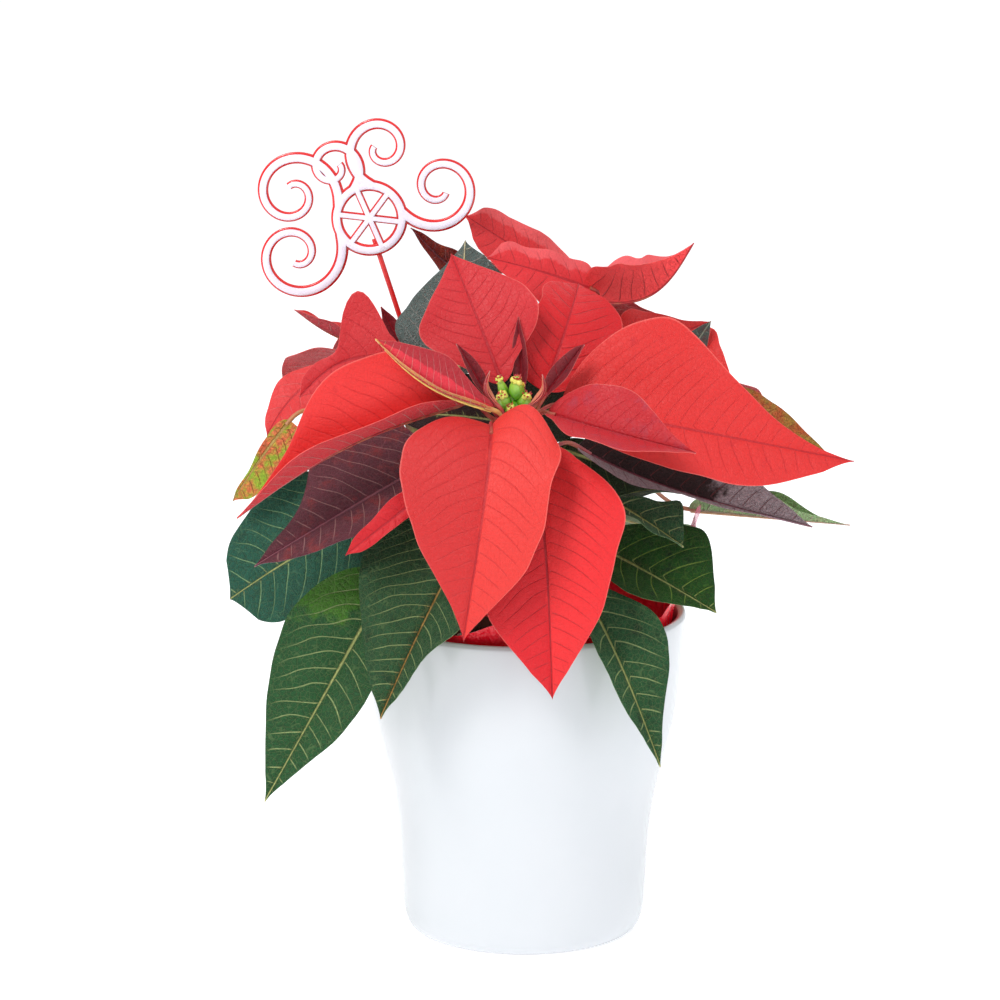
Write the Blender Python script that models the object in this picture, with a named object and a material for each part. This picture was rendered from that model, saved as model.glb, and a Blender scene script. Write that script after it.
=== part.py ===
"""Poinsettia in its glazed pot, with a foil wrap and a scroll pick.

Lengths in the tables are millimetres, from the middle of the pot's underside, +Z up.
-Y is the side that is seen from the front.
"""
from collections import namedtuple
from math import cos, pi, radians, sin

import bpy
import numpy as np

# Stems. Each branch starts beside the main stem and ends under its bloom.
MAIN_STEM = ((0, 0, 98), (0, 0, 130), (0.5, 0, 150), (0, 0, 168))
MAIN_STEM_RADII = (5.5, 5.5, 5.0, 4.6)
BRANCHES = {
    "front": ((0, -8.2, 147), (-1, -15, 170), (-3, -32, 212), (-4, -43, 243)),
    "left": ((-7.6, 0, 150), (-20, 4, 178), (-44, 14, 218), (-61, 22, 247)),
    "right": ((8.2, 1, 152), (20, 6, 180), (42, 17, 218), (58, 26, 246)),
    "rear": ((-2.25, 7.4, 150), (-7, 20, 180), (-18, 52, 226), (-25, 74, 256)),
    "crown": ((0.5, 0.2, 169.9), (5, 10, 200), (16, 31, 246), (26, 45, 278)),
}
BRANCH_RADII = (3.2, 2.9, 2.5, 2.2)
# Which way each bloom looks, and where the disc under it is.
BLOOM_AXES = {
    "front": (-0.05, -0.42, 0.9),
    "left": (-0.42, 0.05, 0.9),
    "right": (0.42, 0.1, 0.9),
    "rear": (-0.15, 0.5, 0.85),
    "crown": (0.05, 0.1, 0.99),
}
BLOOM_RISE = 4.0
# The disc that a bloom's bracts grow from: how far along its axis, and its radius there.
DISC = ((-2.9, 2.4), (-1.4, 5.2), (1.6, 5.6), (2.4, 3.6))
DISC_SIDES = 10
STALK_FOOT = 3.6
# The boss above the disc that carries the little cups: how far along the axis, and its radius there.
BOSS = ((2.8, 4.4), (8.6, 4.4), (11.4, 2.8))
CUP_START = 8.0
# How far a cup leans out for each mm that it stands out, how far it stands out at its foot, and where its middle is.
CUP_LEAN = 0.06
CUP_SPREAD = 0.8
CUP_MIDDLE = 0.42
# The cups of a bloom: the angle round the boss in degrees, how far out, how far up, the radius and the length.
CUPS = (
    (170, 1.2, 3.5, 3.5, 14.0),
    (20, 4.6, 0.0, 3.3, 10.0),
    (160, 4.6, 0.0, 3.2, 9.5),
    (335, 4.6, 2.0, 2.3, 13.5),
    (70, 4.8, -1.5, 2.4, 6.5),
    (235, 4.2, 0.0, 2.8, 10.0),
)
# How many of them each bloom has, and their size against those of the front one.
CUP_COUNTS = {"front": (6, 1.0), "left": (4, 0.75), "right": (4, 0.75), "rear": (4, 0.75), "crown": (4, 0.6)}
# Leaves of other colours than green are pieces of their own, whose stalks end just short of the branch.
LOOSE_KINDS = ("dusk", "turning")
LOOSE_NAMES = {
    "m1": "dark_leaf_left",
    "m2": "dark_leaf_right",
    "m4": "dark_leaf_crown",
    "c4": "dark_leaf_rear",
    "o1": "turning_leaf_left",
    "o2": "turning_leaf_right",
}
BLADE_THICKNESS = 0.8
# Blades longer than LONG_BLADE and shorter than SHORT_BLADE have more and fewer cells.
LONG_BLADE = 75
SHORT_BLADE = 40
STALK_RADII = (1.4, 1.1)
LOOSE_STALK_GAP = 0.85
SEAT_GAP = 0.4

# One leaf or bract. base and tip are the ends of its rib; face is the way its upper side looks.
# left and right are its half widths at a tenth, three, five, seven and nine tenths of its length.
# arch and side bow the rib; fold and roll turn its halves, in degrees.
# join is how far up the branch it grows, 1 being the disc under the bloom.
# heart is how far its halves reach back past the stalk, left and right.
FIELDS = "name branch kind join base tip face left right arch side peak fold curl roll wave heart"
Blade = namedtuple("Blade", FIELDS)
STATIONS = (0.1, 0.3, 0.5, 0.7, 0.9)
BLADES = []


def blade(name, branch, kind, join, base, tip, face, left, right=None, arch=0, side=0, peak=0.5,
          fold=6, curl=0, roll=0, wave=1.0, heart=(0, 0)):
    ends = [np.array(v, float) for v in (base, tip, face)]
    widths = (left, right or left)
    bends = (arch, side, peak, fold, curl, roll, wave, heart)
    BLADES.append(Blade(name, branch, kind, join, *ends, *widths, *bends))


# Front bloom.
blade("b1", "front", "bract", 1, (-15, -63, 248), (-27, -104, 160), (0.05, -1, 0.35),
      (29, 28, 27, 20, 6), (33, 38, 32, 20, 5), arch=15, side=-1, peak=0.36, fold=8, curl=-8, roll=4,
      heart=(11, 4))
blade("b2", "front", "bract", 1, (2, -51, 238), (12, -93, 131), (0.12, -1, 0.25),
      (19, 36, 30, 22, 7), (11, 23, 26, 26, 9), arch=14, peak=0.4, fold=6, curl=-6, side=-1)
blade("b3", "front", "bract", 1, (16, -42, 253), (146, -55, 230), (0, -0.9, 0.45),
      (32, 48, 32, 13, 2), (12, 18, 21, 20, 8), arch=4, side=1, peak=0.4)
blade("b4", "front", "bract", 1, (10, -56, 252), (74, -90, 241), (0, -0.65, 0.75),
      (12, 19, 20, 12, 3), (7, 16, 17, 15, 6), arch=3, side=3, fold=30)
blade("b5", "front", "bract", 1, (-10, -38, 262), (-33, -8, 316), (0.05, -1, 0.25),
      (8, 21, 27, 17, 5), (8, 24, 27, 18, 5), arch=3, fold=8)
blade("b6", "front", "bract", 1, (9, -30, 257), (25, 12, 299), (0.1, -1, 0.35),
      (16, 17, 16, 15, 12), (12, 18, 22, 24, 12), arch=8, fold=5)
blade("b7", "front", "bract", 1, (-27, -54, 256), (-127, -72, 208), (0, -0.45, 0.89),
      (9, 12, 14, 16, 5), (27, 34, 29, 12, 2), arch=10, side=-2, fold=64)
blade("b8", "front", "bract", 1, (-14, -62, 254.5), (-65, -78, 289), (0, -0.4, 0.9),
      (3, 3, 3, 2, 1), (5, 12, 15, 12, 5), arch=-5, side=-2, fold=60, wave=0.3)
blade("b9", "front", "bract", 1, (-17, -47, 258), (-30, -50, 282), (0.5, -0.8, 0.3),
      (2, 4, 4, 3, 1), fold=30, wave=0)
blade("b10", "front", "bract", 1, (-1, -34, 257), (-3, -32, 291), (-0.2, -1, 0.2),
      (2, 4, 4, 3, 1), fold=30, wave=0)
blade("b11", "front", "bract", 1, (9, -46, 258), (26, -46, 281), (-0.4, -0.8, 0.5),
      (3, 5, 5, 4, 2), (3, 6, 7, 5, 2), fold=35, wave=0)
blade("b12", "front", "bract", 1, (-12, -60, 256), (-15, -64, 272), (0.9, -0.3, 0.3),
      (1.5, 2.6, 2.4, 1.6, 0.8), arch=-4, fold=30, wave=0)
blade("b13", "front", "bract", 1, (2, -60, 256), (7, -64, 270.5), (-0.9, -0.3, 0.3),
      (1.5, 2.6, 2.4, 1.6, 0.8), arch=-4, fold=30, wave=0)
blade("r1", "front", "bract", 1, (-32, -73, 229), (-79, -80, 193), (0, -1, 0.3),
      (3, 4, 4, 4, 3), (4, 6, 7, 5, 3))
# Leaves on the front branch.
blade("m1", "front", "dusk", 0.8, (-38, -34, 228), (-120, -66, 185), (-0.2, -0.85, 0.5),
      (12, 20, 20, 15, 6), (46, 45, 32, 13, 4), arch=6, side=-2, fold=10, roll=18)
blade("m2", "front", "dusk", 0.75, (24, -16, 229), (130, -30, 195), (0, -0.5, 0.87),
      (17, 27, 24, 17, 6), (10, 11, 6, 3, 1), arch=-5, side=1, peak=0.4, fold=26)
blade("g2", "front", "leaf", 0.3, (-60, -40, 175), (-116, -78, 80), (-0.1, -0.95, 0.3),
      (7, 16, 19, 14, 4), (22, 31, 28, 19, 6), arch=6, side=-1, fold=12, roll=4)
blade("g3", "front", "leaf", 0.5, (-21, -46, 201), (-64, -88, 121), (-0.15, -0.95, 0.3),
      (8, 20, 30, 14, 5), (34, 40, 34, 23, 9), arch=8, fold=22, roll=26)
blade("g4", "front", "leaf", 0.25, (26, -53, 172), (60, -88, 99), (0.1, -0.95, 0.3),
      (13, 25, 22, 12, 4), (6, 13, 13, 10, 4), arch=5, side=-1, fold=22, roll=-28)
# Left bloom and the leaves of its branch.
blade("c5", "left", "bract", 1, (-56, 6, 266), (-102, -8, 250), (0, -0.9, 0.4),
      (8, 14, 14, 10, 4), (10, 31, 7, 6, 4), side=8, fold=4)
blade("c6", "left", "bract", 1, (-66, 30, 266), (-105, 20, 286), (0, 0, 1),
      (5, 8, 8, 6, 3), arch=-3, fold=35)
blade("c7", "left", "bract", 1, (-57, 34, 268), (-66, 38, 284), (0, -1, 0.5),
      (3, 4, 4, 3, 1), arch=-2, fold=30, wave=0)
blade("c8", "left", "bract", 1, (-90, 26, 257), (-118, 8, 229), (-0.4, -0.8, 0.4),
      (6, 10, 10, 7, 3), side=4, fold=5)
blade("c12", "left", "bract", 1, (-74, 36, 262), (-112, 74, 236), (0, 0.3, 1),
      (9, 17, 19, 15, 6), arch=5, fold=10)
blade("c13", "left", "bract", 1, (-62, 40, 264), (-72, 92, 243), (0, 0.3, 1),
      (9, 16, 18, 14, 6), arch=4, fold=12)
blade("o1", "left", "turning", 0.85, (-107, 4, 237), (-133, -8, 202), (-0.3, -0.9, 0.3),
      (14, 15, 12, 10, 6), (4, 4, 2.5, 1.5, 1), arch=2)
blade("g1", "left", "leaf", 0.45, (-67, 0, 194), (-135, -8, 156), (-0.3, -0.85, 0.4),
      (16, 24, 25, 25, 17), (18, 38, 36, 28, 16), arch=6, fold=4)
blade("g13", "left", "leaf", 0.6, (-58, 30, 205), (-112, 62, 148), (-0.3, 0.3, 0.9),
      (12, 21, 24, 20, 8), arch=10, fold=10)
# Right bloom and the leaves of its branch.
blade("d1", "right", "bract", 1, (64, 12, 262), (97, 0, 246), (0, -0.9, 0.4),
      (17, 25, 19, 12, 5), (10, 16, 18, 14, 6), fold=5)
blade("d2", "right", "bract", 1, (68, 19, 254), (85, 10, 282), (0, -0.9, 0.4),
      (4, 7, 7, 5, 2), fold=8, wave=0.4)
blade("d3", "right", "bract", 1, (76, 34, 254), (104, 78, 214), (0.2, 0.1, 1),
      (10, 19, 21, 16, 6), arch=7, fold=10)
blade("d4", "right", "bract", 1, (66, 44, 258), (74, 100, 240), (0.1, 0.3, 1),
      (9, 18, 20, 15, 6), arch=6, fold=12)
blade("o2", "right", "turning", 0.85, (82, 30, 243), (140, 12, 220), (0.1, -0.8, 0.55),
      (7, 12, 10, 6, 2), (8, 12, 12, 9, 4), arch=4)
blade("g5", "right", "leaf", 0.3, (30, -28, 187), (86, -50, 160), (0.1, -0.9, 0.4),
      (12, 21, 29, 27, 10), (8, 18, 20, 12, 4), arch=3, fold=18, roll=-22)
blade("g6", "right", "leaf", 0.5, (40, -33, 207), (71, -49, 190), (0.1, -0.9, 0.4),
      (5, 10, 14, 16, 6), (4, 8, 10, 8, 3), arch=2, fold=25, roll=-35)
blade("g7", "right", "leaf", 0.6, (77, 30, 190), (150, 6, 188), (0, 0.1, 1),
      (6, 12, 14, 6, 1), (8, 14, 15, 6, 1), fold=55)
blade("g24", "right", "leaf", 0.5, (14, -3, 226), (60, -8, 209), (0.1, -0.9, 0.4),
      (6, 8, 8, 6, 3), (14, 18, 16, 12, 4), arch=3, fold=8)
blade("g15", "right", "leaf", 0.6, (58, 36, 205), (92, 80, 180), (0.2, 0.2, 0.9),
      (11, 20, 22, 17, 7), arch=8, fold=10)
# Crown bloom and the leaf behind the front bloom.
blade("c1", "crown", "bract", 1, (24, 62, 290), (-27, 42, 326), (0, -0.75, 0.66),
      (9, 14, 16, 16, 9), (10, 14, 13, 12, 8), fold=8)
blade("c2", "crown", "bract", 1, (33, 30, 293), (-17, 12, 311), (0, -0.8, 0.6),
      (16, 20, 18, 11, 5), (11, 11, 11, 10, 8), arch=2, fold=8)
blade("c3", "crown", "bract", 1, (28, 36, 288), (77, 18, 317), (0, 0.1, 1),
      (22, 25, 25, 18, 5), (20, 23, 20, 14, 3), arch=-12, fold=50)
blade("c9", "crown", "bract", 1, (18, 60, 292), (-24, 104, 285), (0, 0.2, 1),
      (10, 18, 20, 16, 6), arch=6, fold=10)
blade("c10", "crown", "bract", 1, (30, 62, 292), (42, 120, 268), (0, 0.3, 1),
      (11, 20, 23, 18, 7), arch=7, fold=10)
blade("c11", "crown", "bract", 1, (37, 56, 286), (56, 102, 246), (0.1, 0.4, 0.9),
      (9, 16, 18, 14, 6), arch=2, fold=12)
blade("d5", "right", "bract", 1, (46, 38, 262), (88, 58, 274), (0, -0.75, 0.6),
      (15, 19, 14, 6, 2), (8, 12, 12, 8, 3), fold=8)
blade("m3", "crown", "leaf", 0.55, (-30, 6, 258), (-27, 24, 317), (0, 1, 0.1),
      (12, 22, 26, 21, 9), (20, 30, 25, 15, 4), arch=-4, fold=8)
blade("g20", "crown", "leaf", 0.16, (34, 2, 200), (94, 8, 202), (0.1, -0.1, 1),
      (7, 13, 14, 11, 4), arch=4, fold=10)
blade("g21", "crown", "leaf", 0.2, (-24, -6, 212), (-88, -16, 214), (-0.1, -0.2, 1),
      (7, 14, 15, 11, 4), arch=5, fold=10)
blade("g22", "crown", "leaf", 0.5, (-4, 0, 236), (-62, -14, 243), (-0.1, -0.6, 0.8),
      (12, 20, 20, 15, 5), (20, 25, 19, 12, 4), arch=3, fold=8)
blade("g23", "crown", "leaf", 0.45, (-20, 16, 240), (44, 2, 238), (0.1, -0.7, 0.7),
      (24, 32, 24, 15, 4), (12, 20, 22, 15, 5), arch=3, fold=8)
blade("m4", "crown", "dusk", 0.7, (48, 74, 252), (84, 108, 220), (0.2, 0.3, 0.9),
      (10, 17, 18, 13, 5), arch=6, fold=12)
# Rear bloom and the leaves of its branch.
blade("e1", "rear", "bract", 1, (-38, 84, 262), (-94, 112, 236), (0, 0.3, 1),
      (12, 21, 24, 19, 8), arch=9, fold=8)
blade("e2", "rear", "bract", 1, (-28, 92, 262), (-34, 152, 235), (0, 0.4, 1),
      (13, 22, 26, 20, 8), arch=10, fold=8)
blade("e3", "rear", "bract", 1, (-17, 88, 263), (26, 138, 244), (0, 0.4, 1),
      (12, 21, 24, 18, 7), arch=9, fold=8)
blade("e5", "rear", "bract", 1, (-18, 74, 272), (-8, 66, 288), (0, 0.6, 0.8), (4, 7, 8, 6, 2), fold=20)
blade("c4", "rear", "dusk", 0.9, (-21, 62, 290), (-52, 44, 320), (-0.3, -0.7, 0.6),
      (5, 6, 5, 3, 1), (6, 8, 7, 4, 2), side=-2, fold=12)
blade("g10", "rear", "leaf", 0.3, (-34, 52, 190), (-68, 108, 98), (-0.2, 0.9, 0.4),
      (13, 23, 26, 20, 8), arch=12, fold=10)
blade("g11", "rear", "leaf", 0.35, (18, 50, 195), (50, 122, 104), (0.2, 0.9, 0.4),
      (13, 23, 26, 20, 8), arch=12, fold=10)
blade("g14", "rear", "leaf", 0.6, (-16, 78, 212), (-8, 140, 128), (0, 0.9, 0.4),
      (14, 24, 27, 21, 8), arch=12, fold=9)
blade("g12", "rear", "leaf", 0.25, (42, 34, 186), (84, 84, 138), (0.4, 0.5, 0.7),
      (11, 20, 23, 18, 7), arch=9, fold=10)


def unit(v):
    v = np.asarray(v, float)
    return v / np.maximum(np.linalg.norm(v, axis=-1, keepdims=True), 1e-12)


def turned(v, axis, angle):
    """v turned about axis by angle, in radians."""
    c = np.cos(angle)[..., None]
    s = np.sin(angle)[..., None]
    along = np.sum(axis * v, -1, keepdims=True)
    return v * c + np.cross(axis, v) * s + axis * along * (1 - c)


def envelope(t):
    """Round at the base, drawn out to a point at the tip."""
    return np.clip(t, 0, 1) ** 0.5 * np.clip(1 - t, 0, 1) ** 0.85


def half_width(t, widths):
    """Half width at t: the widths at the stations joined by a smooth curve."""
    s = np.array(STATIONS)
    share = np.array(widths, float) / envelope(s)
    slope = np.gradient(share, s)
    i = np.clip(np.searchsorted(s, t) - 1, 0, len(s) - 2)
    gap = s[i + 1] - s[i]
    x = np.clip((t - s[i]) / gap, 0, 1)
    start = (2 * x**3 - 3 * x**2 + 1) * share[i] + (x**3 - 2 * x**2 + x) * gap * slope[i]
    end = (3 * x**2 - 2 * x**3) * share[i + 1] + (x**3 - x**2) * gap * slope[i + 1]
    drawn_out = (np.clip(1 - t, 0, 0.1) / 0.1) ** 0.5
    return np.maximum(start + end, 0) * envelope(t) * drawn_out


def rib(b, t):
    """Points of the blade's rib."""
    chord = b.tip - b.base
    along = unit(chord)
    normal = unit(b.face - (b.face @ along) * along)
    across = np.cross(along, normal)
    hump = np.sin(pi * np.clip(t, 0, 1) ** (np.log(0.5) / np.log(b.peak)))
    return b.base + chord * t[:, None] + (b.arch * normal + b.side * across) * hump[:, None]


def rib_frame(b, t):
    """Points of the rib, and at each the way along it, across the blade and out of its upper side."""
    step = 1e-3
    point = rib(b, t)
    along = unit(rib(b, np.clip(t + step, 0, 1)) - rib(b, np.clip(t - step, 0, 1)))
    normal = unit(b.face - (along @ b.face)[:, None] * along)
    normal = turned(normal, along, np.full(len(t), radians(b.roll)))
    return point, along, np.cross(along, normal), normal


def section(b, half, share, t):
    """How far across the blade and out of it a point lies, at that share of the half width."""
    sign = np.sign(share)
    reach = abs(share)
    fold = radians(b.fold)
    curl = radians(b.curl)
    if abs(curl) < 1e-6:
        across = half * reach * cos(fold)
        out = half * reach * sin(fold)
    else:
        across = half * (sin(fold + curl * reach) - sin(fold)) / curl
        out = half * (cos(fold) - cos(fold + curl * reach)) / curl
    ripple = np.sin(2 * pi * 2.3 * t + 1.4 * sign) * reach**2 * envelope(t) / 0.41
    return sign * across, out + b.wave * ripple


def reach_back(b, half, share, t):
    """How far back past the stalk the base's halves reach, at that share of the half width."""
    widest = max(b.left if share < 0 else b.right)
    lobe = np.sin(pi * np.clip(half * abs(share) / widest, 0, 1) ** 1.2)
    return b.heart[int(share > 0)] * lobe * np.clip(1 - t / 0.35, 0, 1) ** 2


def blade_grid(b, rows, columns):
    """Middle surface of a blade as a grid of points, the rib in its middle column."""
    t = 0.012 + 0.976 * np.arange(rows + 1) / rows
    point, _, across, normal = rib_frame(b, t)
    backward = unit(b.base - b.tip)
    grid = np.zeros((rows + 1, columns + 1, 3))
    for j, share in enumerate(np.linspace(-1, 1, columns + 1)):
        half = half_width(t, b.left if share < 0 else b.right)
        x, z = section(b, half, share, t)
        back = reach_back(b, half, share, t)
        grid[:, j] = point + across * x[:, None] + normal * z[:, None] + backward * back[:, None]
    return grid


def bezier(a, b, c, d, count):
    t = np.linspace(0, 1, count)[:, None]
    a, b, c, d = (np.asarray(v, float) for v in (a, b, c, d))
    return (1 - t) ** 3 * a + 3 * (1 - t) ** 2 * t * b + 3 * (1 - t) * t**2 * c + t**3 * d


def branch_point(name, share):
    """Point and direction at a share of a branch's length, 1 being under its bloom."""
    line = bezier(*BRANCHES[name], 41)
    i = min(int(share * 40), 39)
    return line[i], unit(line[i + 1] - line[i])


def branch_radius(share):
    return np.interp(share, np.linspace(0, 1, len(BRANCH_RADII)), BRANCH_RADII)


def petiole(b, count):
    """Line of the stalk from the branch, or from the disc under the bloom, to a little way along the rib."""
    if b.join >= 1:
        axis = unit(BLOOM_AXES[b.branch])
        away = b.base - bloom_centre(b.branch)
        way_out = unit(away - (away @ axis) * axis)
        start = bloom_centre(b.branch) + way_out * STALK_FOOT
    else:
        start, way_out = branch_point(b.branch, b.join)
    if b.kind in LOOSE_KINDS:
        away = b.base - start
        way_out = unit(away - (away @ way_out) * way_out)
        start = start + way_out * (branch_radius(b.join) + LOOSE_STALK_GAP)
    end = rib(b, np.array([0.0, 0.06]))
    along = unit(end[1] - end[0])
    reach = np.linalg.norm(end[0] - start)
    curve = bezier(start, start + way_out * reach * 0.45, end[0] - along * reach * 0.4, end[0], count)
    return np.concatenate([curve, end[1:]])


def bloom_centre(name):
    line = bezier(*BRANCHES[name], 41)
    return line[-1] + unit(BLOOM_AXES[name]) * BLOOM_RISE


def thick(grid, thickness):
    """A closed sheet of that thickness round the grid: (points, triangles). Both faces are split alike."""
    along = np.gradient(grid, axis=0)
    across = np.gradient(grid, axis=1)
    normal = unit(np.cross(along, across))
    rows, columns = grid.shape[:2]
    offset = normal * thickness / 2
    points = np.concatenate([(grid + offset).reshape(-1, 3), (grid - offset).reshape(-1, 3)])
    under = rows * columns
    index = np.arange(under).reshape(rows, columns)
    a, b, c, d = index[:-1, :-1], index[1:, :-1], index[1:, 1:], index[:-1, 1:]
    top = [np.stack(corners, -1).reshape(-1, 3) for corners in ([a, b, c], [a, c, d])]
    top = np.concatenate(top)
    loop = np.concatenate([index[:, 0], index[-1, 1:], index[-2::-1, -1], index[0, -2:0:-1]])
    after = np.roll(loop, -1)
    sides = ([loop, loop + under, after + under], [loop, after + under, after])
    rim = np.concatenate([np.stack(corners, -1) for corners in sides])
    return points, np.concatenate([top, top[:, ::-1] + under, rim])


def tube(line, radii, sides):
    """A closed tube along a line: (points, triangles)."""
    line = np.asarray(line, float)
    count = len(line)
    radii = np.interp(np.linspace(0, 1, count), np.linspace(0, 1, len(radii)), radii)
    along = unit(np.gradient(line, axis=0))
    rings = []
    side = unit(np.cross(along[0], (0.31, 0.95, 0.07) if abs(along[0][1]) < 0.9 else (1, 0, 0)))
    for point, direction, radius in zip(line, along, radii):
        side = unit(side - (side @ direction) * direction)
        other = np.cross(direction, side)
        angles = np.arange(sides) * 2 * pi / sides
        rings.append(point + radius * (np.cos(angles)[:, None] * side + np.sin(angles)[:, None] * other))
    points = np.concatenate(rings + [line[:1], line[-1:]])
    triangles = []
    for i in range(count - 1):
        for j in range(sides):
            a, b = i * sides + j, i * sides + (j + 1) % sides
            triangles += [(a, b, b + sides), (a, b + sides, a + sides)]
    first, last = count * sides, count * sides + 1
    for j in range(sides):
        k = (j + 1) % sides
        triangles += [(first, k, j), (last, (count - 1) * sides + j, (count - 1) * sides + k)]
    return points, np.array(triangles)


# Pot: outside and inside from the floor up, 150 mm wide and high at the rim.
POT_OUTSIDE = (
    (49, 0), (53, 1.2), (55.5, 8), (56.7, 22), (58.2, 46), (61.2, 66), (66.2, 86), (70.4, 105), (73.4, 132),
    (74.6, 146),
)
POT_FLOOR = 5
POT_INSIDE = (
    (74.2, 149), (73, 150), (71.3, 149.2), (70.3, 146), (68.6, 124), (62.4, 84), (55.6, 55), (52.3, 14),
    (46.5, POT_FLOOR),
)
POT_SIDES = 40

# Nursery pot and the soil in it.
NURSERY_FLOOR = 5.4
NURSERY_RIM = 131
NURSERY_WALL = 1.3
NURSERY_BASE = 1.6
NURSERY_FOOT_RADIUS = 45
NURSERY_SPREAD = 19
SOIL_GAP = 0.4
SOIL_TOP = 125
HOLE_RADIUS = 6.1
HOLE_DEPTH = 27.4
HOLE_TOP = 6

# Foil wrap between the two pots: a pleated sleeve whose free corners stand above the rim.
WRAP_THICKNESS = 0.6
WRAP_SIDES = 48
WRAP_PLEATS = 16
# Where each free corner points, how far it rises above the rim, and how wide it is, in degrees.
WRAP_CORNERS = ((-13, 52, 13), (22, 20, 12), (95, 22, 14), (150, 26, 14), (195, 16, 14), (-98, 7, 20))

# Pick: a stick in the soil that carries a scroll ornament, a red plate with a narrower white face on it.
STICK_FOOT = (2.5, 23, 97)
STICK_HEAD = (-69, 36.2, 316)
STICK_RADIUS = 1.2
STICK_HOLE_LENGTH = 40
PICK_CENTRE = (-71, 33.6, 326)
PICK_LEAN = 23.5
PLATE_THICKNESS = 1.6
FACE_THICKNESS = 1.0
FACE_GAP = 0.35
PLATE_STROKE = 5.8
FACE_STROKE = 3.6
RING_RADIUS = 15
# Each scroll: the angle where it leaves the ring, the middle it winds round, its turns, its inner radius
# and how many points it has.
SCROLLS = (
    (185, -38, -2, -1.35, 4, 13), (135, -28, 24, 1.35, 4, 13), (-12, 35, 0, 1.3, 4, 13),
    (62, 18, 27, -1.25, 3.5, 11), (95, -6, 28, 1.2, 3.5, 11),
)


# Colour and roughness of each piece, by how its name starts.
FINISHES = {
    "pot": ((0.83, 0.84, 0.86), 0.12),
    "nursery_pot": ((0.12, 0.05, 0.035), 0.5),
    "soil": ((0.05, 0.03, 0.02), 0.95),
    "foil_wrap": ((0.6, 0.02, 0.05), 0.15),
    "pick_back": ((0.45, 0.01, 0.02), 0.35),
    "pick_face": ((0.85, 0.8, 0.84), 0.35),
    "main_stem": ((0.2, 0.16, 0.08), 0.7),
    "leafy_stem": ((0.05, 0.13, 0.03), 0.5),
    "bloom": ((0.62, 0.025, 0.02), 0.5),
    "cyathia": ((0.25, 0.42, 0.04), 0.45),
    "dark_leaf": ((0.1, 0.03, 0.04), 0.5),
    "turning_leaf": ((0.35, 0.22, 0.05), 0.5),
}
SMOOTH_BELOW = radians(35)


def finish(obj):
    """Gives an object its material and smooths its shallow edges."""
    start = next(start for start in FINISHES if obj.name.startswith(start))
    colour, roughness = FINISHES[start]
    material = bpy.data.materials.get(start) or bpy.data.materials.new(start)
    material.use_nodes = True
    shader = material.node_tree.nodes["Principled BSDF"]
    shader.inputs["Base Color"].default_value = (*colour, 1)
    shader.inputs["Roughness"].default_value = roughness
    shader.inputs["Metallic"].default_value = 0
    obj.data.materials.clear()
    obj.data.materials.append(material)
    obj.data.shade_smooth()
    obj.data.set_sharp_from_angle(angle=SMOOTH_BELOW)


def new_object(name, points, triangles):
    """An object from points in millimetres."""
    mesh = bpy.data.meshes.new(name)
    mesh.from_pydata((np.asarray(points) / 1000).tolist(), [], np.asarray(triangles).tolist())
    mesh.validate()
    obj = bpy.data.objects.new(name, mesh)
    bpy.context.scene.collection.objects.link(obj)
    return obj


def fused(name, pieces):
    """One object from several closed pieces."""
    body = new_object(name, *pieces[0])
    if len(pieces) == 1:
        return body
    others = bpy.data.collections.new(name + "_repeats")
    bpy.context.scene.collection.children.link(others)
    for number, piece in enumerate(pieces[1:]):
        part = new_object(f"{name}_repeat_{number}", *piece)
        bpy.context.scene.collection.objects.unlink(part)
        others.objects.link(part)
    return apply_boolean(body, "UNION", others)


def apply_boolean(body, operation, others):
    """The body joined with, or cut by, everything in the collection, which is then removed."""
    change = body.modifiers.new("join", "BOOLEAN")
    change.operation = operation
    change.operand_type = "COLLECTION"
    change.collection = others
    change.solver = "MANIFOLD"
    bpy.context.view_layer.update()
    graph = bpy.context.evaluated_depsgraph_get()
    mesh = bpy.data.meshes.new_from_object(body.evaluated_get(graph))
    body.modifiers.clear()
    body.data = mesh
    for part in list(others.objects):
        bpy.data.objects.remove(part)
    bpy.data.collections.remove(others)
    return body


def lathe(profile, sides, height=None, radius=None):
    """A closed body turned from a profile that starts and ends on the axis."""
    rows = len(profile) - 2
    angles = 2 * pi * np.arange(sides) / sides
    points = []
    for r, z in profile[1:-1]:
        reach = np.full(sides, float(r)) if radius is None else radius(r, z, angles)
        rise = np.full(sides, float(z)) if height is None else height(r, z, angles)
        points.append(np.stack([reach * np.cos(angles), reach * np.sin(angles), rise], -1))
    points = np.concatenate(points + [[(0, 0, profile[0][1]), (0, 0, profile[-1][1])]])
    triangles = []
    for i in range(rows - 1):
        for j in range(sides):
            k = (j + 1) % sides
            a, b, c, d = i * sides + j, i * sides + k, (i + 1) * sides + k, (i + 1) * sides + j
            triangles += [(a, b, c), (a, c, d)]
    first = rows * sides
    for j in range(sides):
        k = (j + 1) % sides
        triangles.append((first, k, j))
        triangles.append((first + 1, (rows - 1) * sides + j, (rows - 1) * sides + k))
    return points, np.array(triangles)


def nursery_radius(z):
    """Outside of the nursery pot."""
    return NURSERY_FOOT_RADIUS + (z - NURSERY_FLOOR) * NURSERY_SPREAD / (NURSERY_RIM - NURSERY_FLOOR)


def nursery_profile():
    top = nursery_radius(NURSERY_RIM)
    floor = NURSERY_FLOOR + NURSERY_BASE
    inner = nursery_radius(floor) - NURSERY_WALL
    return (
        (0, NURSERY_FLOOR), (nursery_radius(NURSERY_FLOOR), NURSERY_FLOOR), (top, NURSERY_RIM),
        (top - NURSERY_WALL, NURSERY_RIM), (inner, floor), (0, floor),
    )


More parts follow.
